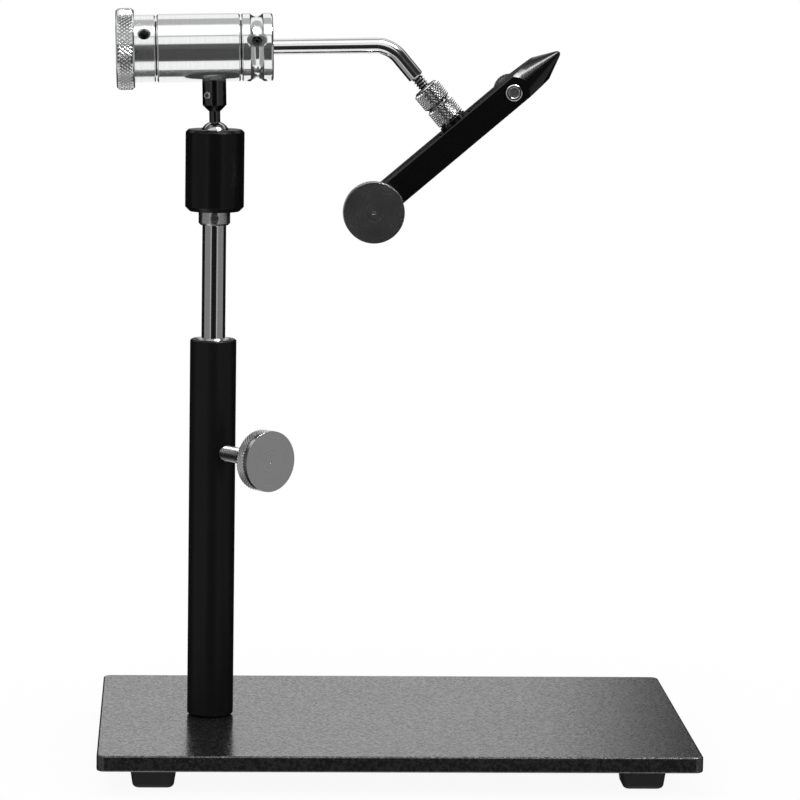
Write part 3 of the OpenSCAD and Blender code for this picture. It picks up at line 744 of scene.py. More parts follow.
class Finishes(Enum):
    """The finishes of this vise, by what they are on."""

    COAT = PowderCoat("powder_coat")
    TUBE = SatinBlack("tube_paint", colour=(0.0042, 0.0042, 0.0045), roughness=0.36, gloss=0.2)
    NUT = SatinBlack("nut_oxide", colour=(0.0032, 0.0032, 0.0034), roughness=0.26, gloss=0.18)
    JAW = SatinBlack("jaw_oxide", colour=(0.0026, 0.0026, 0.0028), roughness=0.17, depth=0.0012,
                     gloss=0.5, sheen_spots=0.03)
    RUBBER = Rubber("foot_rubber")
    ALUMINIUM = TurnedMetal("bright_aluminium", colour=(0.93, 0.935, 0.94), roughness=0.10,
                            metallic=0.94)
    WHEEL = TurnedMetal("knurled_aluminium", colour=(0.93, 0.935, 0.94), roughness=0.16,
                        shade_radii=(15.8, 16.05), band=(8.95, 14.85), groove_shade=0.3, metallic=0.94)
    ROD = TurnedMetal("polished_rod", colour=(0.60, 0.60, 0.61), roughness=0.09, cut=0.0003)
    ARM = TurnedMetal("polished_arm", colour=(0.85, 0.85, 0.86), roughness=0.08, cut=0.0002)
    COLLAR = TurnedMetal("turned_collar", colour=(0.55, 0.55, 0.56), roughness=0.26, cut=0.001)
    KNOB = TurnedMetal("turned_knob", colour=(0.66, 0.66, 0.665), roughness=0.25, cut=0.0012,
                       ring_shade=0.16, shade_radii=(11.66, 11.94), band=(0.7, 5.35), groove_shade=0.92)
    SMALL_KNOB = TurnedMetal("small_knob", colour=(0.22, 0.22, 0.225), roughness=0.24,
                             cut=0.001, shade_radii=(6.08, 6.38), band=(0.75, 5.75), groove_shade=0.85)
    NUTS = TurnedMetal("knurled_nuts", colour=(0.95, 0.95, 0.955), roughness=0.18,
                       shade_radii=(5.06, 5.32), band=(0.3, 8.2), groove_shade=0.82)
    SCREW = TurnedMetal("thread_steel", colour=(0.35, 0.35, 0.36), roughness=0.26,
                        shade_radii=(2.55, 3.12), groove_shade=0.85)
    THREAD = TurnedMetal("arm_thread", colour=(0.5, 0.5, 0.51), roughness=0.2,
                         shade_radii=(1.75, 2.32), groove_shade=0.85)
    DARK_STEEL = TurnedMetal("dark_steel", colour=(0.16, 0.16, 0.165), roughness=0.27, cut=0.001)
    STEM = TurnedMetal("stem_steel", colour=(0.085, 0.085, 0.088), roughness=0.2, cut=0.0006)
    BALL = TurnedMetal("ball_steel", colour=(0.45, 0.45, 0.46), roughness=0.12, cut=0.0004)
    OXIDE_SCREW = TurnedMetal("oxide_screw", colour=(0.06, 0.06, 0.062), roughness=0.34)
    PIN = TurnedMetal("pivot_steel", colour=(0.86, 0.86, 0.87), roughness=0.15)
    RECESS = TurnedMetal("pivot_recess", colour=(0.5, 0.5, 0.51), roughness=0.33)
    BRASS = TurnedMetal("turned_brass", colour=(0.72, 0.5, 0.2), roughness=0.25)
    BRONZE = TurnedMetal("oiled_bronze", colour=(0.035, 0.028, 0.022), roughness=0.5)


UP, AWAY, RIGHT = Vector((0, 0, 1)), Vector((0, 1, 0)), Vector((1, 0, 0))
FLOOR = Matrix.Identity(4)
OVERRUN = 1.0
CLOSE_GAP, RUNNING_GAP = 0.03, 0.05
LAP = 0.1  # how far a turned body lies inside the grooves of its knurl


@dataclass
class Pedestal:
    """Base plate on four rubber feet."""

    length: float = 234.95
    width: float = 158.75
    thickness: float = 6.35
    corner: float = 3.5
    edge: float = 0.8
    edge_chords: int = 5
    foot_d: float = 18.6
    foot_floor_d: float = 16.4
    foot_corner: float = 4.2
    foot_h: float = 9.5
    foot_inset: float = 21.8
    foot_round: float = 2.0
    foot_top_draw: float = 0.3
    foot_top_drop: float = 0.4
    recess_d: float = 9.2
    foot_web: float = 3.8
    foot_hole_d: float = 4.06
    bolt_d: float = 6.35

    def arcs(self) -> list[float]:
        """Angles of the chords that round an edge."""
        return [math.pi / 2 * k / self.edge_chords for k in range(self.edge_chords + 1)]

    def outline(self, inset: float, z: float) -> list[Point]:
        """Outline of the plate at a height, drawn in by an inset."""
        size = (self.length - 2 * inset, self.width - 2 * inset)
        return rounded_square(size, self.corner - inset, z)

    def plate(self) -> None:
        """Makes the plate, with the countersunk hole of the post's bolt."""
        low, high, e = self.foot_h, self.foot_h + self.thickness, self.edge
        rings = [self.outline(e - e * math.sin(a), low + e - e * math.cos(a))
                 for a in self.arcs()]
        rings += [self.outline(e - e * math.cos(a), high - e + e * math.sin(a))
                  for a in self.arcs()]
        sink = self.bolt_d / 2
        wide, narrow = 2 * sink + CLOSE_GAP, sink + CLOSE_GAP
        cut = plug([(wide, -OVERRUN), (wide, 0), (narrow, sink),
                    (narrow, self.thickness + OVERRUN)], steps=64)
        piece("plate", Shape().skin(rings), FLOOR, "base", Finishes.COAT,
              ["base_plate"], [(cut, Post.place() @ Matrix.Translation((0, 0, low)))])

    def feet(self) -> None:
        """Makes the four feet, each with the recess and hole of its screw."""
        web, top = self.foot_h - self.foot_web, self.foot_h + OVERRUN
        recess, hole = self.recess_d / 2, self.foot_hole_d / 2
        cutter = plug([(recess, -OVERRUN), (recess, web), (hole, web), (hole, top)], steps=48)
        r = self.foot_round
        sides = [(self.foot_floor_d - 2 * r + 2 * r * math.sin(a), r - r * math.cos(a))
                 for a in self.arcs()]
        sides += [(self.foot_d, self.foot_h - self.foot_top_drop),
                  (self.foot_d - self.foot_top_draw, self.foot_h)]
        across, deep = self.length / 2 - self.foot_inset, self.width / 2 - self.foot_inset
        feet, holes = Shape(), []
        for at in ((sx * across, sy * deep) for sx in (-1, 1) for sy in (-1, 1)):
            feet.skin([rounded_square((w, w), self.foot_corner - (self.foot_d - w) / 2, z, at)
                       for w, z in sides])
            holes.append((cutter, Matrix.Translation((*at, 0))))
        piece("feet", feet, FLOOR, "base", Finishes.RUBBER, ["rubber_feet"], holes)

    def build(self) -> None:
        """Makes the plate and its feet and dresses their screws."""
        self.plate()
        self.feet()
        carried("foot_screws", Finishes.DARK_STEEL, FLOOR)


@dataclass
class Knob:
    """Knurled clamp knob, up Z from its back."""

    d: float = 24.4
    thickness: float = 7.5
    band: float = 4.6
    back: float = 0.7
    face: float = 0.1
    pitch: float = 1.3
    row: float = 0.8
    depth: float = 0.5
    flat: float = 0.3
    pip: float = 0.6
    pip_depth: float = 0.5
    pip_edge: float = 0.05
    bore: float = 6.41
    bore_past_middle: float = 0.6
    rounding: float = 0.12

    def shape(self) -> Shape:
        """Turned body with a centre mark in its face, and the knurled band.

        Returns:
            the knob
        """
        root, rim, hole = self.d / 2 - self.depth, self.d / 2 - LAP, self.bore / 2
        top, end = self.thickness, self.back + self.band
        blind, mark = top / 2 + self.bore_past_middle, top - self.pip_depth
        body = rounded([(0, blind), (hole, blind), (hole, 0), (root - self.back, 0),
                        (root - LAP, self.back), (root - LAP, end), (rim, end + self.depth),
                        (rim, top, self.face), (self.pip, top, self.pip_edge),
                        (self.pip, mark), (0, mark)], self.rounding)
        return Shape().revolve(body, steps=192).knurl(
            self.d, self.back, end, self.pitch, self.row, self.depth, self.flat)


@dataclass
class Post:
    """Black tube, polished rod and the clamp that holds the rod."""

    tube_d: float = 18.5
    tube_l: float = 152.5
    tube_floor: float = 12.0
    tube_foot_bevel: float = 1.0
    tube_top_bevel: float = 0.6
    bore_d: float = 9.625
    bolt_hole_d: float = 6.41
    mouth_depth: float = 1.6
    mouth_share: float = 0.35
    rod_d: float = 9.525
    rod_bevel: float = 0.8
    rod_show: float = 45.6
    rod_below: float = 88.46
    rod_above: float = 17.44
    plate_top: float = 15.85
    knob_reach: float = 37.3
    screw_d: float = 6.35
    screw_start: float = 6.4125
    screw_pitch: float = 1.27
    pin_share: float = 0.2
    pin_depth: float = 4.1

    @staticmethod
    def place() -> Matrix:
        """Frame on the floor under the post's axis."""
        at = joint_at("head_swivel")
        return Matrix.Translation((at.x, at.y, 0))

    def knob_place(self) -> Matrix:
        """Frame on the post's axis whose Z runs out along the clamp's screw."""
        turn, axis = joint_at("post_clamp_turn"), joint_at("head_swivel")
        return placed(Vector((axis.x, axis.y, turn.z)), joint_axis("post_clamp_turn"), UP)

    def tube(self) -> None:
        """Makes the tube, with bare metal in its turned mouth."""
        low, high = self.plate_top, self.plate_top + self.tube_l
        r, bore, hole = self.tube_d / 2, self.bore_d / 2, self.bolt_hole_d / 2
        foot, brim = self.tube_foot_bevel, self.tube_top_bevel
        mouth = bore + self.mouth_share * (self.tube_d - self.bore_d)
        floor, step = low + self.tube_floor, high - self.mouth_depth
        profile = rounded([(hole, low), (r - foot, low), (r, low + foot), (r, high - brim),
                           (r - brim, high), (mouth, high), (bore, step), (bore, floor),
                           (hole, floor)], radius=0.25)
        screw = self.screw_d / 2 + RUNNING_GAP
        cut = plug([(screw, 0), (screw, self.tube_d)], steps=64)
        item = piece("tube", Shape().revolve(profile, steps=160, closed=True), self.place(),
                     "base", Finishes.TUBE, ["post_tube"],
                     [(cut, self.knob_place())])
        two_tone(item, Finishes.COLLAR,
                 lambda at: at.z > step - NEAR and at.xy.length < mouth + NEAR)

    def rod(self) -> None:
        """Makes the polished rod."""
        high = self.plate_top + self.tube_l
        low, top = high - self.rod_below, high + self.rod_show + self.rod_above
        r, bevel = self.rod_d / 2, self.rod_bevel
        profile = rounded([(0, low), (r - bevel, low), (r, low + bevel), (r, top - bevel),
                           (r - bevel, top), (0, top)], radius=0.2)
        piece("rod", Shape().revolve(profile), self.place(), "rod", Finishes.ROD,
              ["post_rod"])

    def clamp(self) -> None:
        """Makes the clamp's screw and knob."""
        place = self.knob_place()
        screw = Shape().thread(self.screw_d, self.screw_start,
                               self.knob_reach - Knob.thickness / 2, self.screw_pitch)
        pin = self.pin_share * self.screw_d + RUNNING_GAP
        hollow = plug([(pin, 0), (pin, self.screw_start + self.pin_depth)], steps=40)
        piece("clamp_screw", screw, place, "post_clamp", Finishes.SCREW,
              ["post_screw"], [(hollow, place)])
        knob = place @ Matrix.Translation((0, 0, self.knob_reach - Knob.thickness))
        piece("clamp_knob", Knob().shape(), knob, "post_clamp", Finishes.KNOB,
              ["post_knob"])

    def build(self) -> None:
        """Makes the tube, the rod and the clamp, and dresses the bolt and the pad."""
        self.tube()
        self.rod()
        self.clamp()
        carried("post_bolt", Finishes.DARK_STEEL, self.place())
        carried("post_screw_pad", Finishes.BRASS, self.knob_place())


@dataclass
class BallJoint:
    """Collar on the rod, black nut, and the ball with the stem that carries the head."""

    swivel_z: float = 249.25
    collar_z: float = 213.95
    collar_d: float = 12.6
    collar_h: float = 5.5
    collar_bevel: float = 0.8
    collar_corner: float = 0.05
    collar_screw_d: float = 3.5
    rod_bore_d: float = 9.585
    rod_top: float = 231.39
    thread_d: float = 19.0
    thread_lift: float = 0.1
    base_top: float = 235.33
    seat_floor: float = 229.89
    seat_d: float = 14.14
    nut_d: float = 23.4
    nut_h: float = 32.5
    nut_foot_bevel: float = 1.8
    nut_top_bevel: float = 1.1
    nut_mouth_d: float = 13.4
    lip_drop: float = 0.55
    cup_drop: float = 1.215
    cup_degrees: range = range(-8, 22, 3)
    ball_d: float = 12.0
    ball_degrees: range = range(-87, 66, 3)
    ball_gap: float = 0.08
    neck_d: float = 4.4
    neck_h: float = 10.0
    neck_land: float = 0.25
    neck_corner: float = 0.1
    stem_d: float = 9.5
    stem_cone: float = 2.35
    stem_screw_d: float = 3.0
    stem_screw_share: float = 0.4
    stem_screw_turn: float = -122.0
    spigot_share: float = 0.67
    spigot_drop: float = 6.5
    shank_share: float = 0.8
    axis_rise: float = 34.9
    housing_d: float = 27.0

    @property
    def nut_z(self) -> float:
        """Height of the nut's lower face."""
        return self.collar_z + self.collar_h

    @property
    def stem_top(self) -> float:
        """Height over the ball where the stem's side meets the housing."""
        return self.axis_rise - math.sqrt((self.housing_d / 2) ** 2
                                          - (self.stem_d / 2 + CLOSE_GAP) ** 2)

    @property
    def shank_top(self) -> float:
        """Height over the ball where its shank ends inside the stem."""
        return self.neck_h + self.shank_share * (self.stem_top - self.neck_h)

    def place(self) -> Matrix:
        """Frame on the post's axis, shifted with the ball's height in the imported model."""
        shift = joint_at("head_swivel").z - self.swivel_z
        return Post.place() @ Matrix.Translation((0, 0, shift))

    def collar_screw_place(self) -> Matrix:
        """Frame on the post's axis whose Z runs out along the collar's set screw."""
        height = self.collar_z + self.collar_h / 2
        return placed(self.place() @ Vector((0, 0, height)), -AWAY, RIGHT)

    def stem_screw_place(self) -> Matrix:
        """Frame on the stem's axis whose Z runs out along its set screw.

        Returns:
            the frame
        """
        head, cone = Head.ball_place(), self.neck_h + self.stem_cone
        height = cone + self.stem_screw_share * (self.stem_top - cone)
        turn = Matrix.Rotation(math.radians(self.stem_screw_turn), 3, "Z")
        return placed(head @ Vector((0, 0, height)), head.to_3x3() @ turn @ RIGHT, UP)

    def base(self) -> None:
        """Makes the collar and the threaded body above it."""
        r, t = self.collar_d / 2, self.thread_d / 2
        bore, seat, bevel = self.rod_bore_d / 2, self.seat_d / 2, self.collar_bevel
        low, start, top = self.collar_z, self.nut_z + self.thread_lift, self.base_top
        profile = rounded([(bore, low), (r - bevel, low), (r, low + bevel),
                           (r, start, self.collar_corner), (t - bevel, start),
                           (t, start + bevel), (t, top - bevel), (t - bevel, top), (seat, top),
                           (seat, self.seat_floor), (0, self.seat_floor)], radius=0.12)
        blind, screw = self.rod_top + CLOSE_GAP, self.collar_screw_d / 2
        profile += [(0, blind), (bore, blind)]
        cut = plug([(screw, 0), (screw, self.collar_d)], steps=48)
        piece("joint_collar", Shape().revolve(profile, closed=True), self.place(), "rod",
              Finishes.COLLAR, ["ball_base"], [(cut, self.collar_screw_place())])

    def nut(self) -> None:
        """Makes the black nut, whose lip cups the ball."""
        r, t, seat = self.nut_d / 2, self.thread_d / 2 + RUNNING_GAP, self.seat_d / 2
        low, top, ball = self.nut_z, self.nut_z + self.nut_h, self.ball_d / 2 + self.ball_gap
        foot, brim = self.nut_foot_bevel, self.nut_top_bevel
        lip, floor = top - self.lip_drop, self.swivel_z - self.cup_drop
        cup = [(ball * math.cos(a), self.swivel_z + ball * math.sin(a))
               for a in (math.radians(d) for d in self.cup_degrees)]
        profile = rounded([(t, low), (r - foot, low), (r, low + foot), (r, top - brim),
                           (r - brim, top), (self.nut_mouth_d / 2, top)], radius=0.3)
        profile.append((math.sqrt(ball ** 2 - (lip - self.swivel_z) ** 2), lip))
        profile += [p for p in reversed(cup) if floor < p[1] < lip - TOUCHING]
        ceiling = self.base_top + RUNNING_GAP
        profile += [(math.sqrt(ball ** 2 - self.cup_drop ** 2), floor), (seat, floor),
                    (seat, ceiling), (t, ceiling)]
        piece("ball_nut_shell", Shape().revolve(profile, steps=160, closed=True), self.place(),
              "ball_nut", Finishes.NUT, ["ball_nut"])

    def ball(self) -> None:
        """Makes the bright ball with its darker neck and shank."""
        ball, neck, top = self.ball_d / 2, self.neck_d / 2, self.shank_top
        around = [(ball * math.cos(a), ball * math.sin(a))
                  for a in (math.radians(d) for d in self.ball_degrees)]
        rise = math.sqrt(ball ** 2 - neck ** 2)
        profile = [(0.0, -ball), *(p for p in around if p[0] > neck), (neck, rise),
                   (neck, top), (0, top)]
        item = piece("ball", Shape().revolve(profile, steps=128), Head.ball_place(), "head",
                     Finishes.BALL, ["ball_stud"])
        two_tone(item, Finishes.STEM, lambda at: at.z > rise + 2 * NEAR)

    def stem(self) -> None:
        """Makes the stem between the neck and the housing."""
        neck, r = self.neck_d / 2, self.stem_d / 2
        bore, spigot, screw = neck + CLOSE_GAP, self.spigot_share * r, self.stem_screw_d / 2
        low, top, peak = self.neck_h, self.stem_top, self.axis_rise - self.spigot_drop
        profile = rounded([(bore, low), (neck + self.neck_land, low, self.neck_corner),
                           (r, low + self.stem_cone), (r, top), (spigot, top), (spigot, peak),
                           (0, peak)], radius=0.18)
        blind = self.shank_top + CLOSE_GAP
        profile += [(0, blind), (bore, blind)]
        cut = plug([(screw, 0), (screw, self.stem_d)], steps=40)
        piece("stem", Shape().revolve(profile, steps=128, closed=True), Head.ball_place(), "head",
              Finishes.STEM, ["head_stem"], [(cut, self.stem_screw_place())])

    def build(self) -> None:
        """Makes the collar, the nut, the ball and the stem, and dresses what they hold."""
        self.base()
        self.nut()
        self.ball()
        self.stem()
        carried("ball_seat", Finishes.BRASS, Post.place())
        carried("base_set_screw", Finishes.COLLAR, self.collar_screw_place())
        carried("stem_set_screw", Finishes.COLLAR, self.stem_screw_place())


@dataclass
class Head:
    """Fixed housing, knurled wheel and grooved collar on the rotary axis."""

    housing_d: float = 27.0
    housing_front: float = 10.6
    housing_back: float = 22.4
    housing_bevel: float = 0.6
    bore_d: float = 10.06
    stem_d: float = 9.56
    stem_depth: float = 22.3
    spigot_d: float = 6.42
    spigot_depth: float = 29.0
    gap: float = 0.5
    hub_d: float = 26.6
    hub_l: float = 8.3
    hub_bevel: float = 0.5
    hub_corner: float = 0.1
    hub_screw_share: float = 0.52
    hub_mouth: float = 1.3
    wheel_d: float = 32.3
    wheel_t: float = 7.2
    wheel_bevel: float = 0.6
    knurl_pitch: float = 1.56
    knurl_row: float = 0.97
    knurl_depth: float = 0.35
    front_d: float = 26.9
    front_l: float = 12.4
    front_bevel: float = 0.5
    front_round: float = 1.0
    front_mouth: float = 2.0
    groove_share: float = 0.48
    groove_w: float = 5.3
    groove_depth: float = 1.2
    groove_chords: int = 10  # on either side of its middle
    screw_d: float = 4.0
    arm_hole_d: float = 6.41
    screw_turn: float = 28.5
    collar_turn: float = 15.0

    @staticmethod
    def ball_place() -> Matrix:
        """Frame at the ball's centre, with Z up the stem."""
        axis = joint_axis("head_rotation")
        return placed(joint_at("head_swivel"), Vector((-axis.z, 0, axis.x)), axis)

    @staticmethod
    def place() -> Matrix:
        """Frame where the stem meets the rotary axis, with X forwards and Z up."""
        axis = joint_axis("head_rotation")
        return placed(joint_at("head_rotation"), Vector((-axis.z, 0, axis.x)), axis)

    def along(self, x: float, forwards: bool = True) -> Matrix:
        """Frame on the rotary axis whose Z runs forwards or backwards.

        Args:
            x: place along the axis, forwards from the stem
            forwards: whether its Z runs to the jaws
        Returns:
            the frame
        """
        head = self.place()
        axis = head.to_3x3() @ RIGHT
        return placed(head @ Vector((x, 0, 0)), axis if forwards else -axis, UP)

    def from_axis(self, x: float, angle: float) -> Matrix:
        """Frame on the rotary axis whose Z runs outwards, by the angle above the front.

        Args:
            x: place along the axis, forwards from the stem
            angle: degrees above the side that faces the viewer
        Returns:
            the frame
        """
        head = self.place()
        a = math.radians(angle)
        out = head.to_3x3() @ Vector((0, -math.cos(a), math.sin(a)))
        return placed(head @ Vector((x, 0, 0)), out, head.to_3x3() @ RIGHT)

    def screw_hole(self, d: float, mouth: float) -> Shape:
        """Cutter for a screw hole; its mouth is so many screws wide on a body of diameter d."""
        r, sink = self.screw_d / 2, (mouth - 1) * self.screw_d / 2
        return plug([(r, 0), (r, d / 2 - sink), (r + sink + OVERRUN, d / 2 + OVERRUN)], steps=56)

    def housing(self) -> None:
        """Makes the fixed housing, with the hole that the stem stands in."""
        r, bore, bevel = self.housing_d / 2, self.bore_d / 2, self.housing_bevel
        length = self.housing_front + self.housing_back
        profile = rounded([(bore, 0), (r - bevel, 0), (r, bevel), (r, length - bevel),
                           (r - bevel, length), (bore, length)], radius=0.22)
        stem, spigot = self.stem_d / 2, self.spigot_d / 2
        cut = plug([(stem, 0), (stem, self.stem_depth), (spigot, self.stem_depth),
                    (spigot, self.spigot_depth)], steps=96)
        piece("housing", Shape().revolve(profile, steps=192, closed=True),
              self.along(-self.housing_back), "head", Finishes.ALUMINIUM,
              ["head_housing"], [(cut, self.ball_place())])

    def wheel(self) -> None:
        """Makes the knurled wheel with its hub, and dresses the hub's screw."""
        h, bevel, hole = self.hub_d / 2, self.hub_bevel, self.arm_hole_d / 2
        root, rim, low = self.wheel_d / 2 - self.knurl_depth, self.wheel_bevel, self.hub_l
        end = low + self.wheel_t
        profile = rounded([(hole, 0), (h - bevel, 0), (h, bevel), (h, low, self.hub_corner),
                           (root - rim, low), (root - LAP, low + rim), (root - LAP, end - rim),
                           (root - rim, end), (hole, end)], radius=0.15)
        wheel = Shape().revolve(profile, steps=192, closed=True)
        wheel.knurl(self.wheel_d, low + rim, end - rim, self.knurl_pitch, self.knurl_row,
                    self.knurl_depth)
        start = self.housing_back + self.gap
        drill = self.from_axis(-start - self.hub_screw_share * self.hub_l, self.screw_turn)
        piece("wheel", wheel, self.along(-start, False), "rotor", Finishes.WHEEL,
              ["rotary_wheel"], [(self.screw_hole(self.hub_d, self.hub_mouth), drill)])
        carried("wheel_set_screw", Finishes.OXIDE_SCREW, drill)

    def collar(self) -> None:
        """Makes the front collar with its groove, and dresses its screws."""
        front = self.housing_front + self.gap
        r, mid, hole = self.front_d / 2, self.groove_share * self.front_l, self.arm_hole_d / 2
        half, deep = self.groove_w / 2, self.groove_depth
        arc = (half ** 2 + deep ** 2) / (2 * deep)
        reach, chords = math.asin(half / arc), self.groove_chords
        groove = [(r - deep + arc - arc * math.cos(a), mid + arc * math.sin(a))
                  for a in (reach * k / chords for k in range(-chords, chords + 1))]
        profile = rounded([(hole, 0), (r - self.front_bevel, 0), (r, self.front_bevel),
                           groove[0]], radius=0.15)
        profile += groove[1:-1]
        profile += rounded([groove[-1], (r, self.front_l, self.front_round),
                            (hole, self.front_l)], radius=0.15, steps=8)
        cutter = self.screw_hole(self.front_d, self.front_mouth)
        cuts = [(cutter, self.from_axis(front + mid, self.collar_turn + 90 * i))
                for i in range(4)]
        piece("collar", Shape().revolve(profile, steps=192, closed=True), self.along(front),
              "rotor", Finishes.ALUMINIUM, ["front_collar"], cuts)
        carried("collar_set_screws", Finishes.OXIDE_SCREW, self.along(front))

    def build(self) -> None:
        """Makes the housing, the wheel and the collar, and dresses the bushes."""
        self.housing()
        self.wheel()
        self.collar()
        for bush in ("front_bush", "rear_bush"):
            carried(bush, Finishes.BRONZE, self.along(0))


@dataclass
class Arm:
    """Bent rod through the head, its thread and the two nuts on it."""

    d: float = 6.35
    reach: float = 69.8
    bend: float = 50.85
    bend_r: float = 12.5
    bend_chords: int = 28
    back: float = 38.0
    back_bevel: float = 0.4
    drop: float = 16.5
    sides: int = 96
    level: tuple[float, ...] = (-20.0, 5.0, 30.0, 50.0)  # stations between the ends of the rod
    shoulder: tuple[tuple[float, float], ...] = (  # how far short of the thread, how much thinner
        (5.5, 0.0), (0.62, 0.0), (0.5, 0.03), (0.1, 0.42), (0.0, 0.55))
    thread_d: float = 4.76
    thread_lap: float = 0.4
    pitch: float = 1.27
    thread_end: float = 44.81
    nut_d: float = 11.8
    nut_pitch: float = 1.45
    nut_row: float = 0.85
    nut_depth: float = 0.8
    nut_land: float = 0.4
    nut_bevel: float = 0.4
    nut_edge: float = 0.2
    lock_start: float = 21.8
    lock_h: float = 8.2
    adjust_start: float = 30.1
    adjust_h: float = 8.4

    def leg(self) -> Matrix:
        """Frame at the corner of the bend, with Z down the lower leg."""
        corner = Head.place() @ Vector((self.reach, 0, 0))
        return placed(corner, -joint_axis("lock_nut_turn"), AWAY)

    def nut(self, height: float) -> Shape:
        """Knurled nut up Z with a bevel at its low end and a smooth land at its high end.

        Args:
            height: height of the nut
        Returns:
            the nut
        """
        root, hole = self.nut_d / 2 - self.nut_depth, self.thread_d / 2 + RUNNING_GAP
        low, band, edge = self.nut_bevel, height - self.nut_land, self.nut_edge
        body = rounded([(hole, 0), (root - low, 0), (root - LAP, low), (root - LAP, band),
                        (root, band + LAP), (root, height - edge), (root - edge, height),
                        (hole, height)], radius=0.08)
        return Shape().revolve(body, steps=128, closed=True).knurl(
            self.nut_d, low, band, self.nut_pitch, self.nut_row, self.nut_depth)

    def stations(self) -> list[tuple[Vector, float, float]]:
        """Places along the arm, each with its slope in radians and its radius.

        Returns:
            the stations, from behind the wheel to the thread
        """
        r, turn = self.d / 2, math.radians(self.bend)
        run = self.bend_r * math.tan(turn / 2)
        centre = Vector((self.reach - run, 0, -self.bend_r))
        corner, down = Vector((self.reach, 0, 0)), Vector((math.cos(turn), 0, -math.sin(turn)))
        level = [(-self.back, r - self.back_bevel), (-self.back + self.back_bevel, r),
                 *((x, r) for x in self.level)]
        path = [(Vector((x, 0, 0)), 0.0, size) for x, size in level]
        for k in range(self.bend_chords + 1):
            a = turn * k / self.bend_chords
            path.append((centre + self.bend_r * Vector((math.sin(a), 0, math.cos(a))), a, r))
        return path + [(corner + down * (self.drop - short), turn, r - less)
                       for short, less in self.shoulder]

    def rod(self) -> None:
        """Makes the bent rod, from behind the wheel to its threaded end."""
        rings = []
        for at, slope, r in self.stations():
            side = Vector((math.sin(slope), 0, math.cos(slope)))
            rings.append([at + r * (math.cos(t) * AWAY + math.sin(t) * side)
                          for t in (math.tau * i / self.sides for i in range(self.sides))])
        piece("arm", Shape().skin(rings), Head.place(), "rotor", Finishes.ARM,
              ["rotary_arm"])

    def build(self) -> None:
        """Makes the arm, its thread and its nuts."""
        self.rod()
        leg = self.leg()
        thread = Shape().thread(self.thread_d, self.drop - self.thread_lap, self.thread_end,
                                self.pitch)
        piece("arm_thread", thread, leg, "rotor", Finishes.THREAD, ["rotary_arm"])
        for name, body, start, height in (
                ("locking_nut", "lock_nut", self.lock_start, self.lock_h),
                ("setting_nut", "adjusting_nut", self.adjust_start, self.adjust_h)):
            piece(name, self.nut(height), leg @ Matrix.Translation((0, 0, start)), body,
                  Finishes.NUTS, [body])


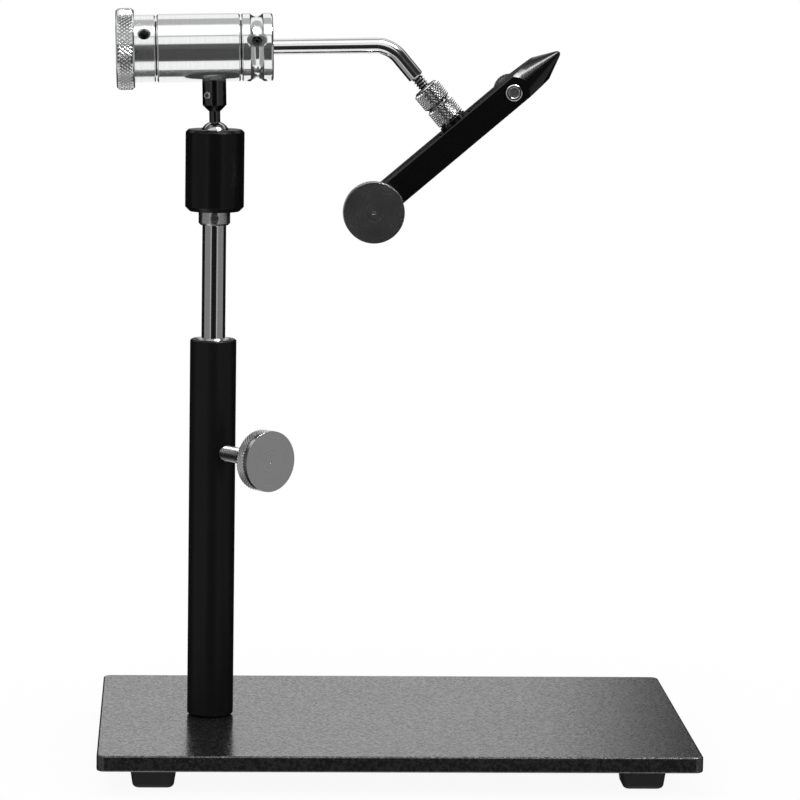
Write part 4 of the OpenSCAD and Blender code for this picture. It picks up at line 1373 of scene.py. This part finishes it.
@dataclass
class Jaws:
    """Two jaws with their pivot, spring and screw clamp."""

    thickness: float = 18.6
    pivot_d: float = 5.0
    pivot_bevel: float = 0.5
    pivot_head_d: float = 6.8
    pivot_head_h: float = 0.6
    pivot_head_round: float = 0.6
    pivot_rim: float = 0.38
    recess_d: float = 4.2
    recess_depth: float = 0.4
    socket_d: float = 2.886
    socket_depth: float = 0.6
    pivot_knob_d: float = 13.0
    pivot_knob_t: float = 6.5
    pivot_knob_bevel: float = 0.7
    pivot_knob_pitch: float = 1.25
    pivot_knob_row: float = 0.8
    pivot_knob_depth: float = 0.45
    pivot_knob_flat: float = 0.2
    knob_reach: float = 18.8
    screw_d: float = 5.0
    screw_gap: float = 0.06

    def place(self) -> Matrix:
        """Frame at the jaws' pivot, with X to the tips and Z up the arm's lower leg.

        Returns:
            the frame
        """
        up = joint_axis("lock_nut_turn")
        along = AWAY.cross(up)
        return placed(joint_at("pivot_knob_turn"), up, along if along.x > 0 else -along)

    def through(self, joint: str, towards: bool = True) -> Matrix:
        """Frame on a cross axis in the split plane, with Z towards the viewer or away.

        Args:
            joint: joint that the axis belongs to
            towards: whether its Z runs towards the viewer
        Returns:
            the frame
        """
        at = joint_at(joint)
        return placed(Vector((at.x, 0, at.z)), -AWAY if towards else AWAY,
                      joint_axis("lock_nut_turn"))

    def small_knob(self) -> Shape:
        """Knurled pivot knob, up Z from the jaws.

        Returns:
            the knob
        """
        root, hole = self.pivot_knob_d / 2 - self.pivot_knob_depth, self.pivot_d / 2 + RUNNING_GAP
        top, bevel = self.pivot_knob_t, self.pivot_knob_bevel
        body = rounded([(hole, 0), (root - bevel, 0), (root - LAP, bevel),
                        (root - LAP, top - bevel), (root - bevel, top), (hole, top)], radius=0.12)
        return Shape().revolve(body, steps=128, closed=True).knurl(
            self.pivot_knob_d, bevel, top - bevel, self.pivot_knob_pitch, self.pivot_knob_row,
            self.pivot_knob_depth, self.pivot_knob_flat)

    def pivot(self) -> None:
        """Makes the pivot screw: bright rim, dark recess with a socket, shank to the knob."""
        place, top = self.through("pivot_knob_turn"), self.thickness / 2 + self.pivot_head_h
        end = self.thickness / 2 + RUNNING_GAP + self.pivot_knob_t
        shank, r, bevel = self.pivot_d / 2, self.pivot_head_d / 2, self.pivot_bevel
        recess, floor = self.recess_d / 2, top - self.recess_depth
        body = rounded([(0, floor), (recess, floor), (recess, top, self.pivot_rim),
                        (r, top, self.pivot_head_round), (r, 0), (shank, 0), (shank, bevel - end),
                        (shank - bevel, -end), (0, -end)], radius=0.12)
        socket = self.socket_d / 2
        cut = plug([(socket, top - self.socket_depth), (socket, top)], steps=6)
        item = piece("pivot_pin", Shape().revolve(body, steps=96), place, "jaws", Finishes.PIN,
                     ["pivot_screw"], [(cut, place)])
        two_tone(item, Finishes.RECESS,
                 lambda at: 0 < at.z < floor + NEAR / 2 and at.xy.length < recess + NEAR / 2)

    def build(self) -> None:
        """Dresses the jaws and makes their pivot and knobs."""
        place = self.place()
        carried("front_jaw", Finishes.JAW, place)
        carried("rear_jaw", Finishes.JAW, place)
        self.pivot()
        carried("jaw_spring", Finishes.DARK_STEEL, place)
        seat = Matrix.Translation((0, 0, self.thickness / 2 + RUNNING_GAP))
        piece("pivot_knob_turned", self.small_knob(),
              self.through("pivot_knob_turn", False) @ seat, "pivot_knob",
              Finishes.SMALL_KNOB, ["pivot_knob"])
        clamp = self.through("jaw_clamp_turn")
        knob = clamp @ Matrix.Translation((0, 0, self.knob_reach - Knob.thickness))
        piece("jaw_clamp_knob", Knob(bore=self.screw_d + self.screw_gap).shape(), knob,
              "jaw_clamp", Finishes.KNOB, ["jaw_knob"])
        carried("jaw_screw", Finishes.DARK_STEEL, clamp)
        carried("jaw_screw_pad", Finishes.BRASS, clamp)


class Zone(Enum):
    """Parts of the mirrored room, each with its low edge, its high edge and its softness.

    Turns, heights and arches are in degrees. A turn is counted round from the front, a height
    from the horizon, and an arch from the front over the top. A width is a direction's share to
    the right.
    """

    FRONT_TURN = (-200, 27, 5.0)
    FRONT_HEIGHT = (-42, 17, 1.2)
    SIDE_TURN = (33, 98, 6.0)
    SIDE_HEIGHT = (-60, 32, 5.0)
    BEHIND_TURN = (98, 173.7, 1.2)
    WALL_TURN = (25, 98, 5.0)
    WALL_HEIGHT = (6, 44, 3.0)
    SEAM_ARCH = (42, 45.5, 1.2)
    CEILING_ARCH = (88, 120, 3.0)
    CROWN_ARCH = (48, 84, 2.0)
    CROWN_WIDTH = (-1, 0.62, 0.1)
    STRIP_ARCH = (66, 81, 1.5)
    STRIP_WIDTH = (0.17, 0.6, 0.02)
    RIM_ARCH = (150, 170.5, 1.5)
    HORIZON_ARCH = (171.5, 179, 1.0)

    def mask(self, number: Wire) -> Wire:
        """Is 1 where a number lies in the zone."""
        return number.within(*self.value)


@dataclass
class Studio:
    """Camera, floor, soft light and the surroundings that bright metal mirrors."""

    picture_px: float = 800.0
    sensor: float = 36.0
    focal_px: float = 4094.76
    eye: Point = (-88.37, -1624.91, 358.08)
    pitch: float = 7.485
    yaw: float = 3.173
    roll: float = -0.8575
    clip: tuple[float, float] = (0.05, 60.0)
    world_level: float = 0.8
    front_level: float = 0.006
    streak_level: float = 0.05
    side_level: float = 0.32
    behind_level: float = 0.012
    wall_level: float = 0.03
    wall_edge: tuple[float, float] = (0.2, 0.35)
    ceiling_shade: float = 0.54
    rim_shade: float = 0.2
    horizon_shade: float = 0.97
    seam_shade: float = 0.7
    crown_level: float = 0.3
    strip_level: float = 28.0
    floor_size: float = 4000.0
    floor_depth: float = 2.0
    floor_fade: tuple[float, float] = (0.12, 0.4)
    floor_level: float = 0.93
    floor_colour: Colour = (0.96, 0.96, 0.96)
    lamp_watts: float = math.pi ** 2
    lamp_size: float = 1.6
    lamp_eye: Point = (-0.7, -0.9, 1.9)

    def camera(self) -> None:
        """Sets the camera where the photographer's stood."""
        data = bpy.data.cameras.new("camera")
        data.sensor_fit, data.sensor_width = "HORIZONTAL", self.sensor
        data.lens = self.focal_px / self.picture_px * self.sensor
        data.clip_start, data.clip_end = self.clip
        item = bpy.data.objects.new("camera", data)
        bpy.context.scene.collection.objects.link(item)
        p, y, r = (math.radians(a) for a in (self.pitch, self.yaw, self.roll))
        right = Vector((math.cos(y), -math.sin(y), 0))
        level = Vector((math.sin(y), math.cos(y), 0))
        ahead = math.cos(p) * level - math.sin(p) * UP
        above = math.sin(p) * level + math.cos(p) * UP
        across = math.cos(r) * right - math.sin(r) * above
        upward = math.sin(r) * right + math.cos(r) * above
        axes = Matrix((across, upward, -ahead)).transposed().to_4x4()
        item.matrix_world = Matrix.Translation(Vector(self.eye) * MM) @ axes
        bpy.context.scene.camera = item

    def world(self) -> None:
        """White to the camera, a plain level on matt surfaces, a lit room in the metal."""
        world = bpy.data.worlds.new("studio")
        bpy.context.scene.world = world
        world.use_nodes = True
        g = Graph(world.node_tree)
        path = g.node("ShaderNodeLightPath", {}, {})
        seen, shiny = (Wire(g, path.outputs[f"Is {kind} Ray"]) for kind in ("Camera", "Glossy"))
        x, y, z = g.split(g.node("ShaderNodeTexCoord", {}, {}).outputs["Generated"])
        degrees = 180 / math.pi
        around = abs(g.math("ARCTAN2", x, 0 - y) * degrees)
        height = z.math("ARCSINE") * degrees
        over = g.math("ARCTAN2", z, 0 - y) * degrees
        front = Zone.FRONT_TURN.mask(around) * Zone.FRONT_HEIGHT.mask(height)
        streaks = 0.5 * g.lines(over, scale=0.09, detail=3.0).step(0.35, 0.65)
        streaks = streaks + 0.5 * over.step(-20, 18)
        sides = Zone.SIDE_TURN.mask(around) * Zone.SIDE_HEIGHT.mask(height)
        behind = Zone.BEHIND_TURN.mask(around) * Zone.SIDE_HEIGHT.mask(height)
        wall = Zone.WALL_HEIGHT.mask(height) * Zone.WALL_TURN.mask(around)
        wall = wall * x.step(*self.wall_edge)
        crown = Zone.CROWN_ARCH.mask(over) * Zone.CROWN_WIDTH.mask(abs(x))
        strip = Zone.STRIP_ARCH.mask(over) * Zone.STRIP_WIDTH.mask(x)
        room = 1 - self.ceiling_shade * Zone.CEILING_ARCH.mask(over)
        room = room - self.rim_shade * Zone.RIM_ARCH.mask(over)
        room = room - self.horizon_shade * Zone.HORIZON_ARCH.mask(over)
        room = room * (1 - self.seam_shade * Zone.SEAM_ARCH.mask(over))
        room = room.painted(sides, self.side_level)
        room = room.painted(behind, self.behind_level)
        room = room.painted(wall, self.wall_level)
        room = room.painted(front, self.front_level + self.streak_level * streaks)
        room = room + self.crown_level * crown + self.strip_level * strip
        light = shiny * room + (1 - shiny) * self.world_level
        light = seen + (1 - seen) * light
        back = g.node("ShaderNodeBackground", {}, {"Color": (1.0, 1.0, 1.0), "Strength": light})
        g.node("ShaderNodeOutputWorld", {}, {"Surface": back.outputs[0]})

    def floor(self) -> None:
        """White floor that keeps the shadow near the object and fades to the backdrop."""
        made = bpy.data.materials.new("floor_white")
        made.use_nodes = True
        g = Graph(made.node_tree)
        x, y, _ = g.split(g.node("ShaderNodeTexCoord", {}, {}).outputs["Object"])
        far = ((x * x + y * y) ** 0.5).step(*self.floor_fade)
        seen = Wire(g, g.node("ShaderNodeLightPath", {}, {}).outputs["Is Camera Ray"])
        matt = g.node("ShaderNodeBsdfDiffuse", {}, {"Color": self.floor_colour})
        glow = g.node("ShaderNodeEmission", {}, {"Color": (1.0, 1.0, 1.0), "Strength": 1.0})
        bright = self.floor_level + (1 - self.floor_level) * far
        both = g.node("ShaderNodeMixShader", {}, {
            0: seen * bright, 1: matt.outputs[0], 2: glow.outputs[0]})
        g.node("ShaderNodeOutputMaterial", {}, {"Surface": both.outputs[0]})
        size, low = self.floor_size, -self.floor_depth
        sheet = Shape().skin([[(-size, -size, z), (size, -size, z), (size, size, z),
                               (-size, size, z)] for z in (low, 0.0)]).object("floor")
        sheet.data.materials.append(made)
        sheet.visible_glossy = False

    def lamp(self) -> None:
        """One broad lamp above the left front, for a soft shadow."""
        data = bpy.data.lights.new("soft_lamp", "AREA")
        data.shape, data.size = "DISK", self.lamp_size
        data.energy = self.lamp_watts
        item = bpy.data.objects.new("soft_lamp", data)
        bpy.context.scene.collection.objects.link(item)
        at = Vector(self.lamp_eye)
        item.matrix_world = placed(at / MM, at, RIGHT)
        item.matrix_world.translation = at
        item.visible_glossy = item.visible_camera = False

    def build(self) -> None:
        """Sets up the whole studio."""
        self.camera()
        self.world()
        self.floor()
        self.lamp()
        bpy.context.scene.view_settings.view_transform = "Standard"


def main() -> None:
    """Builds the studio and the vise, and logs each part as it is built."""
    logging.basicConfig(level=logging.INFO, format="%(name)s: %(message)s")
    for part in (Studio(), Pedestal(), Post(), BallJoint(), Head(), Arm(), Jaws()):
        part.build()
        log.info("%s built", type(part).__name__)
    bpy.context.view_layer.update()


if __name__ == "__main__":
    main()
